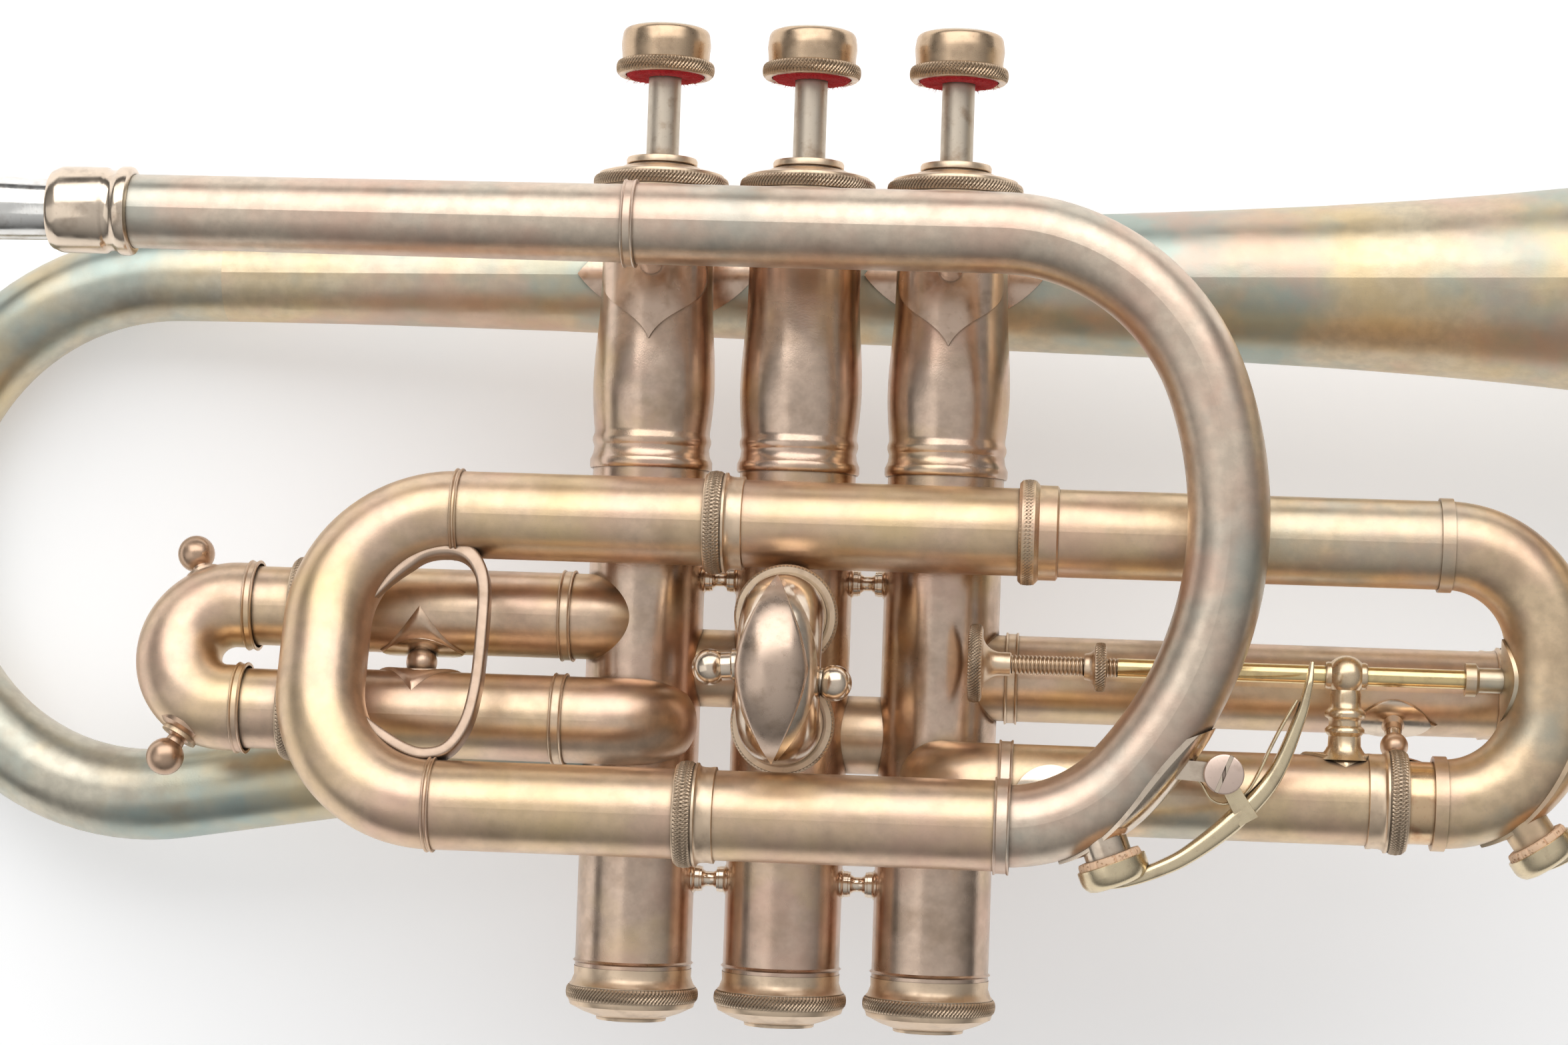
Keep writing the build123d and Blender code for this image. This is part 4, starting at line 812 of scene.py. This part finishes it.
def finger_hook_strap():
    middle = Vector((0.0, (UPPER[0] + LOWER[0]) / 2, (UPPER[1] + LOWER[1]) / 2))
    fall = Vector((0.0, UPPER[0] - LOWER[0], UPPER[1] - LOWER[1])).normalized()
    normal = Vector((1.0, 0.0, 0.0)).cross(fall)
    turn = Matrix((Vector((1.0, 0.0, 0.0)), fall, normal)).transposed().to_4x4()
    place = Matrix.Translation(middle + normal * 0.9) @ turn
    line = smooth_line(((-64.6, 9.0), (-61.6, 13.2), (-58.0, 16.7), (-54.0, 17.9), (-50.6, 17.2),
                        (-48.3, 14.9), (-47.0, 11.0), (-46.7, 3.2), (-46.9, -5.1), (-48.0, -11.3),
                        (-50.5, -15.4), (-54.4, -16.4), (-58.4, -15.0), (-62.7, -12.1), (-65.6, -9.2)))
    work = bmesh.new()
    strap(work, place, [Vector(p[:2]) for p in line], (0.8, 3.3, 3.4, 2.4, 1.9, 1.8, 1.8, 1.9, 1.8, 0.8),
          (1.6, 3.0, 3.6, 3.6, 3.4, 3.4, 3.4, 3.4, 3.2, 1.6), 0.5)
    piece("little_finger_hook", work, "hook", "finger_hook", ease=False)


def second_slide_detail():
    """Polished guard plate and knobs on the crown of the second slide."""
    (x, upper), (_, lower) = SECOND_LEGS
    middle, front = (upper + lower) / 2, 35.3
    work = bmesh.new()
    for side in (-1, 1):
        centre = (side * 9.5 - 0.4, middle - 0.9 - side * 0.9, front - 1.5)
        knob(work, centre, (-side, 0.08, 0.0), 2.78, 2.1, 2.6)
    piece("second_slide_knobs", work, "bright", body="second_slide", slot="silver_bright", ease=False)
    work = bmesh.new()
    rows, columns = 49, 25
    pipe, wide, bend, end_turn = 6.5, 12.4, 8.3, math.radians(67)

    def spine(turn):
        """Point and outward direction of the bow's own line, at an angle from the crown's top."""
        out = Vector((0.0, math.sin(turn), math.cos(turn)))
        return Vector((x, middle, front)) + out * bend, out

    def layer(proud):
        def point(i, j):
            s, t = 2 * i / (rows - 1) - 1, 2 * j / (columns - 1) - 1
            centre, out = spine(end_turn * s)
            half = wide / 2 * (1 - abs(math.sin(end_turn * s) / math.sin(end_turn)) ** 1.5) * t
            radius = pipe + proud * (0.35 + 0.65 * min(1.0, 7.0 * (1 - abs(t))) ** 0.5)
            around = half / pipe
            return centre + (out * math.cos(around) + Vector((1.0, 0.0, 0.0)) * math.sin(around)) * radius
        return point

    grid(work, rows, columns, layer(-0.3), False, False)
    grid(work, rows, columns, layer(0.75), False, False)
    bmesh.ops.bridge_loops(work, edges=[e for e in work.edges if e.is_boundary])
    piece("second_slide_guard", work, "polished", body="second_slide", slot="silver_bright", ease=False)


first_slide_knobs()
finger_hook_strap()
second_slide_detail()

# ---- water keys -------------------------------------------------------------
KEY_PIVOT = (20.4, 5.7)
LEVER_LINE = ((-2.6, -4.6), (1.0, -4.9), (5.0, -4.8), (11.0, -4.2), (19.2, -1.6), (27.1, 2.5), (33.8, 9.5),
              (37.1, 14.2), (38.7, 17.2))
SPRING_LINE = ((-9.6, -0.6), (-8.0, 0.6), (-6.2, 1.4), (-4.7, 1.4), (-3.6, -0.3), (-3.0, -3.0), (-1.2, -4.4),
               (1.7, -4.1), (4.5, -2.2), (7.7, 1.0), (10.9, 4.0), (14.2, 6.8))


def key_place(x, y, z, angle):
    """Matrix at a cork's seat, with local x along the tube and local y into it."""
    turn = math.radians(angle)
    along = Vector((math.sin(-turn), math.cos(turn), 0.0))
    return facing((x, y, z), (0.0, 0.0, 1.0), along)


def cracked_cork(name, place, node):
    draw = random.Random(7)
    steps, grooves = 144, sorted(draw.uniform(0, 2 * math.pi) for _ in range(22))
    heights = ((4.2, 0.35), (4.75, 0.4), (4.9, 0.75), (4.95, 1.5), (4.9, 2.3), (4.7, 2.6), (4.2, 2.7))
    work = bmesh.new()
    down = place @ Matrix.Rotation(math.pi / 2, 4, "X")

    def point(i, j):
        angle = 2 * math.pi * i / steps
        radius, height = heights[j]
        near = min(abs((angle - g + math.pi) % (2 * math.pi) - math.pi) for g in grooves)
        radius -= 0.32 * max(0.0, 1 - near / 0.03) + 0.06 * math.sin(9 * angle + j)
        return down @ Vector((radius * math.cos(angle), radius * math.sin(angle), height))

    verts = grid(work, steps, len(heights), point, True, False)
    for column in (0, -1):
        work.faces.new([verts[i][column] for i in range(steps)])
    piece(name, work, "cork", node, ease=False)


def water_key(name, place, seat_body):
    """Lever with its cup, cork, hinge, slotted screw and spring."""
    x, y = KEY_PIVOT
    down = place @ Matrix.Rotation(math.pi / 2, 4, "X")
    work = bmesh.new()
    lathe(work, down, [(0, 2.72), (4.85, 2.72), (4.9, 1.5), (5.0, 1.4), (5.3, 1.4), (5.4, 1.5), (5.4, 3.0),
                       (5.3, 3.6), (5.0, 4.2), (4.5, 4.75), (3.6, 5.05), (0, 5.2)], 72)
    line = [Vector(p[:2]) for p in smooth_line(LEVER_LINE)]
    strap(work, place, line, (0.5, 1.5, 2.2, 2.5, 3.1, 2.5, 1.7, 1.0, 0.5),
          (3.4, 4.2, 4.2, 4.3, 5.0, 4.2, 4.6, 5.2, 3.2), 0.7)
    for side in (-1, 1):
        fork = smooth_line(((x + 1.2, y - 8.0), (x + 0.6, y - 4.4), (x + 0.1, y - 1.2), (x, y + 1.6)), 4)
        strap(work, place @ Matrix.Translation((0, 0, side * 2.0)), [Vector(p[:2]) for p in fork],
              (3.2, 2.7, 2.5, 2.3), (0.8, 0.8), 0.3)
    piece(name + "_arm", work, "key", name + "_lever", ease=False)
    cracked_cork(name + "_pad", place, name + "_cork")
    work = bmesh.new()
    leaf = [Vector((p.x + x, p.y + y)) for p in smooth_line([Vector((*p, 0.0)) for p in SPRING_LINE], 6)]
    strap(work, place, leaf, (0.42, 0.42), (3.0, 3.0), 0.8)
    piece(name + "_leaf", work, "key", name + "_spring", ease=False)
    work = bmesh.new()
    head = place @ Matrix.Translation((x, y, 3.4))
    lathe(work, head, [(0, -7.4), (1.1, -7.4), (1.1, 0.0), (2.9, 0.0), (3.05, 0.12), (3.05, 0.55),
                       (0, 0.55)], 72)
    for slot_angle in (47, 47 + 180):
        slotted_half(work, head @ Matrix.Rotation(math.radians(slot_angle), 4, "Z"), 3.05, 0.33, 0.5, 1.0)
    piece(name + "_screw", work, "screw", body=seat_body, slot="silver_bright", ease=False)


def slotted_half(work, place, radius, half_slot, low, high):
    """Half of a domed screw head, on one side of its slot."""
    start = math.asin(half_slot / radius)
    turns = [start + (math.pi - 2 * start) * k / 32 for k in range(33)]
    outline = [Vector((radius * math.cos(turn), radius * math.sin(turn))) for turn in turns]
    centre = Vector((0.0, half_slot))
    levels = ((1.0, low), (1.0, high - 0.2), (0.965, high - 0.07), (0.91, high))

    def point(i, j):
        scale, height = levels[i]
        return place @ Vector((*(centre + (outline[j] - centre) * scale), height))

    verts = grid(work, len(levels), len(outline), point, False, True)
    work.faces.new(verts[0])
    work.faces.new(verts[-1])


LEAD_KEY = (51.4, -50.0, LOWER[1], -68.8)       # where the cork seats, and how far its seat is turned
CROOK_KEY = (116.9, -45.8, UPPER[1], -55.3)
water_key("water_key", key_place(*LEAD_KEY), "root")
water_key("crook_key", key_place(*CROOK_KEY), "quick_change_slide")


# ---- mouthpiece and receiver ------------------------------------------------
def mouthpiece_piece():
    place = facing((0.0, *LEAD), (1.0, 0.0, 0.0))
    outside = [tuple(p)[:2] for p in smooth_line(((5.05, -131.0), (5.8, -132.2), (6.0, -133.0),
                                                  (5.6, -134.2), (5.3, -135.2), (5.4, -137.0),
                                                  (6.3, -141.0), (8.0, -144.4), (9.6, -147.0),
                                                  (10.8, -151.0), (11.3, -155.0), (11.5, -160.0)), 5)]
    rim = [(12.2, -161.0), (12.7, -162.0), (12.95, -163.4), (12.9, -164.6), (12.5, -165.6), (11.8, -166.4),
           (11.0, -166.75), (10.2, -166.8), (9.3, -166.5), (8.6, -165.9), (8.2, -165.0), (8.0, -164.0)]
    cup = [tuple(p)[:2] for p in smooth_line(((8.0, -164.0), (7.9, -160.5), (7.3, -157.0), (6.2, -153.6),
                                              (4.6, -151.0), (3.0, -149.2), (2.1, -147.5)), 5)]
    work = bmesh.new()
    lathe(work, place, [(3.6, -97.0), (4.4, -97.0), (4.85, -118.0), *outside, *rim, *cup[1:], (2.1, -143.0),
                        (3.0, -125.0)], 128)
    piece("mouthpiece_turned", work, "silver", "mouthpiece", ease=False)


def receiver_piece():
    place = facing((0.0, *LEAD), (1.0, 0.0, 0.0))
    work = bmesh.new()
    lathe(work, place, [(5.35, -115.4), (5.6, -115.5), (6.0, -115.45), (6.2, -115.2), (6.3, -114.9),
                        (6.65, -114.1), (6.75, -113.4), (6.75, -107.2), (6.65, -106.8), (6.4, -106.5),
                        (6.3, -106.2), (6.3, -105.5), (6.45, -105.1), (6.8, -104.7), (6.95, -104.3),
                        (6.95, -103.3), (6.8, -102.9), (6.3, -102.65), (5.8, -102.6), (5.8, -104.5),
                        (5.3, -104.5)], 96)
    piece("receiver_turned", work, "bright", "receiver", ease=False)


mouthpiece_piece()
receiver_piece()


# ---- braces -----------------------------------------------------------------
def casing_links():
    """Turned links between the casings, and balls on the braces between neighbouring tubes."""
    work = bmesh.new()
    for a in (0, 1):
        for y in (-9.5, -58.0):
            place = facing(((VALVE_X[a] + VALVE_X[a + 1]) / 2, y, 0.0), (1.0, 0.0, 0.0))
            lathe(work, place, [(0, -3.0), (2.6, -3.0), (2.4, -2.5), (2.1, -2.3), (2.1, -1.6), (1.6, -1.2),
                                (1.2, -0.6), (1.2, 0.6), (1.6, 1.2), (2.1, 1.6), (2.1, 2.3), (2.4, 2.5),
                                (2.6, 3.0), (0, 3.0)], 48)
    piece("link_collars", work, "bright", body="root", slot="silver_bright", ease=False)
    work = bmesh.new()
    for (ya, za), (yb, zb), x, size, wide in ((FIRST_LEGS[0], FIRST_LEGS[1], -59.0, 2.5, 18.5),
                                              (THIRD_LEGS[0], CROOK, 96.0, 2.2, 9.0)):
        up, low = Vector((x, ya, za)), Vector((x, yb, zb))
        ball(work, (up + low) / 2, size)
        for start, way in ((up, low - up), (low, up - low)):
            angle = math.degrees(math.atan2(way.z, way.y))
            saddle_plate(work, start, angle, 14.0, wide, TUBE_R, hollow=1.05)
            stub = facing(start + way.normalized() * (TUBE_R - 0.1), way)
            lathe(work, stub, [(0, 0.0), (2.6, 0.0), (2.0, 0.4), (1.45, 0.9), (1.35, 2.0), (0, 2.0)], 48)
    piece("brace_balls", work, "tuning", body="root", slot="silver_bright", ease=False)


casing_links()


# ---- floor, light and camera ------------------------------------------------
def floor():
    bpy.ops.mesh.primitive_plane_add(size=8.0)
    plane = bpy.context.object
    plane.name = "floor"
    n = Nodes("floor_paper")
    n.shader.inputs["Emission Color"].default_value = (1.0, 1.0, 1.0, 1.0)
    n.shader.inputs["Emission Strength"].default_value = 0.29
    plane.data.materials.append(n.finish(n.mixed((0.95, 0.95, 0.95), (0.93, 0.93, 0.935), n.noise(0.004)),
                                         0.6, 0.0))


def area_light(name, place, width, height, watts):
    """White soft box in the frame's metres, aimed at the cornet's middle."""
    data = bpy.data.lights.new(name, "AREA")
    data.shape = "RECTANGLE"
    data.size, data.size_y = width, height
    data.energy = watts
    light = bpy.data.objects.new(name, data)
    bpy.context.scene.collection.objects.link(light)
    light.location = place
    light.rotation_euler = (-Vector(place)).to_track_quat("-Z", "Y").to_euler()


def studio():
    """Two soft boxes under a pale sky that darkens towards the horizon."""
    area_light("key_box", (-0.10, 0.75, 0.80), 1.8, 1.0, 10.0)
    area_light("fill_box", (-0.80, -0.20, 0.70), 0.6, 0.9, 0.8)
    world = bpy.data.worlds.new("studio")
    world.use_nodes = True
    tree = world.node_tree
    direction = tree.nodes.new("ShaderNodeTexCoord").outputs["Generated"]
    axes = tree.nodes.new("ShaderNodeSeparateXYZ")
    tree.links.new(direction, axes.inputs[0])
    height = tree.nodes.new("ShaderNodeMapRange")
    for key, number in (("From Min", 0.12), ("From Max", 0.92), ("To Min", 0.12), ("To Max", 0.60)):
        height.inputs[key].default_value = number
    tree.links.new(axes.outputs["Z"], height.inputs["Value"])
    tree.nodes["Background"].inputs["Color"].default_value = (0.98, 0.99, 1.0, 1.0)
    tree.links.new(height.outputs["Result"], tree.nodes["Background"].inputs["Strength"])
    bpy.context.scene.world = world
    bpy.context.scene.view_settings.view_transform = "Standard"


CAMERA_DISTANCE = 577.0                 # from the instrument's valve 2, along the line of sight
CAMERA_TARGET = Vector((-2.0, 0.0, 0.0))
CAMERA_YAW, CAMERA_PITCH, CAMERA_ROLL = 4.5, 2.5, 2.0
CAMERA_LENS = 81.7


def camera():
    data = bpy.data.cameras.new("camera")
    data.sensor_width = 36.0
    data.lens = CAMERA_LENS
    data.clip_start = 0.01
    made = bpy.data.objects.new("camera", data)
    bpy.context.scene.collection.objects.link(made)
    turn = (Matrix.Rotation(math.radians(CAMERA_YAW), 3, "Y")
            @ Matrix.Rotation(math.radians(CAMERA_PITCH), 3, "X")
            @ Matrix.Rotation(math.radians(CAMERA_ROLL), 3, "Z"))
    place = Matrix.Translation(CAMERA_TARGET + turn @ Vector((0, 0, CAMERA_DISTANCE))) @ turn.to_4x4()
    made.matrix_world = (LAY @ place) @ Matrix.Scale(1 / MM, 4)
    bpy.context.scene.camera = made


floor()
studio()
camera()
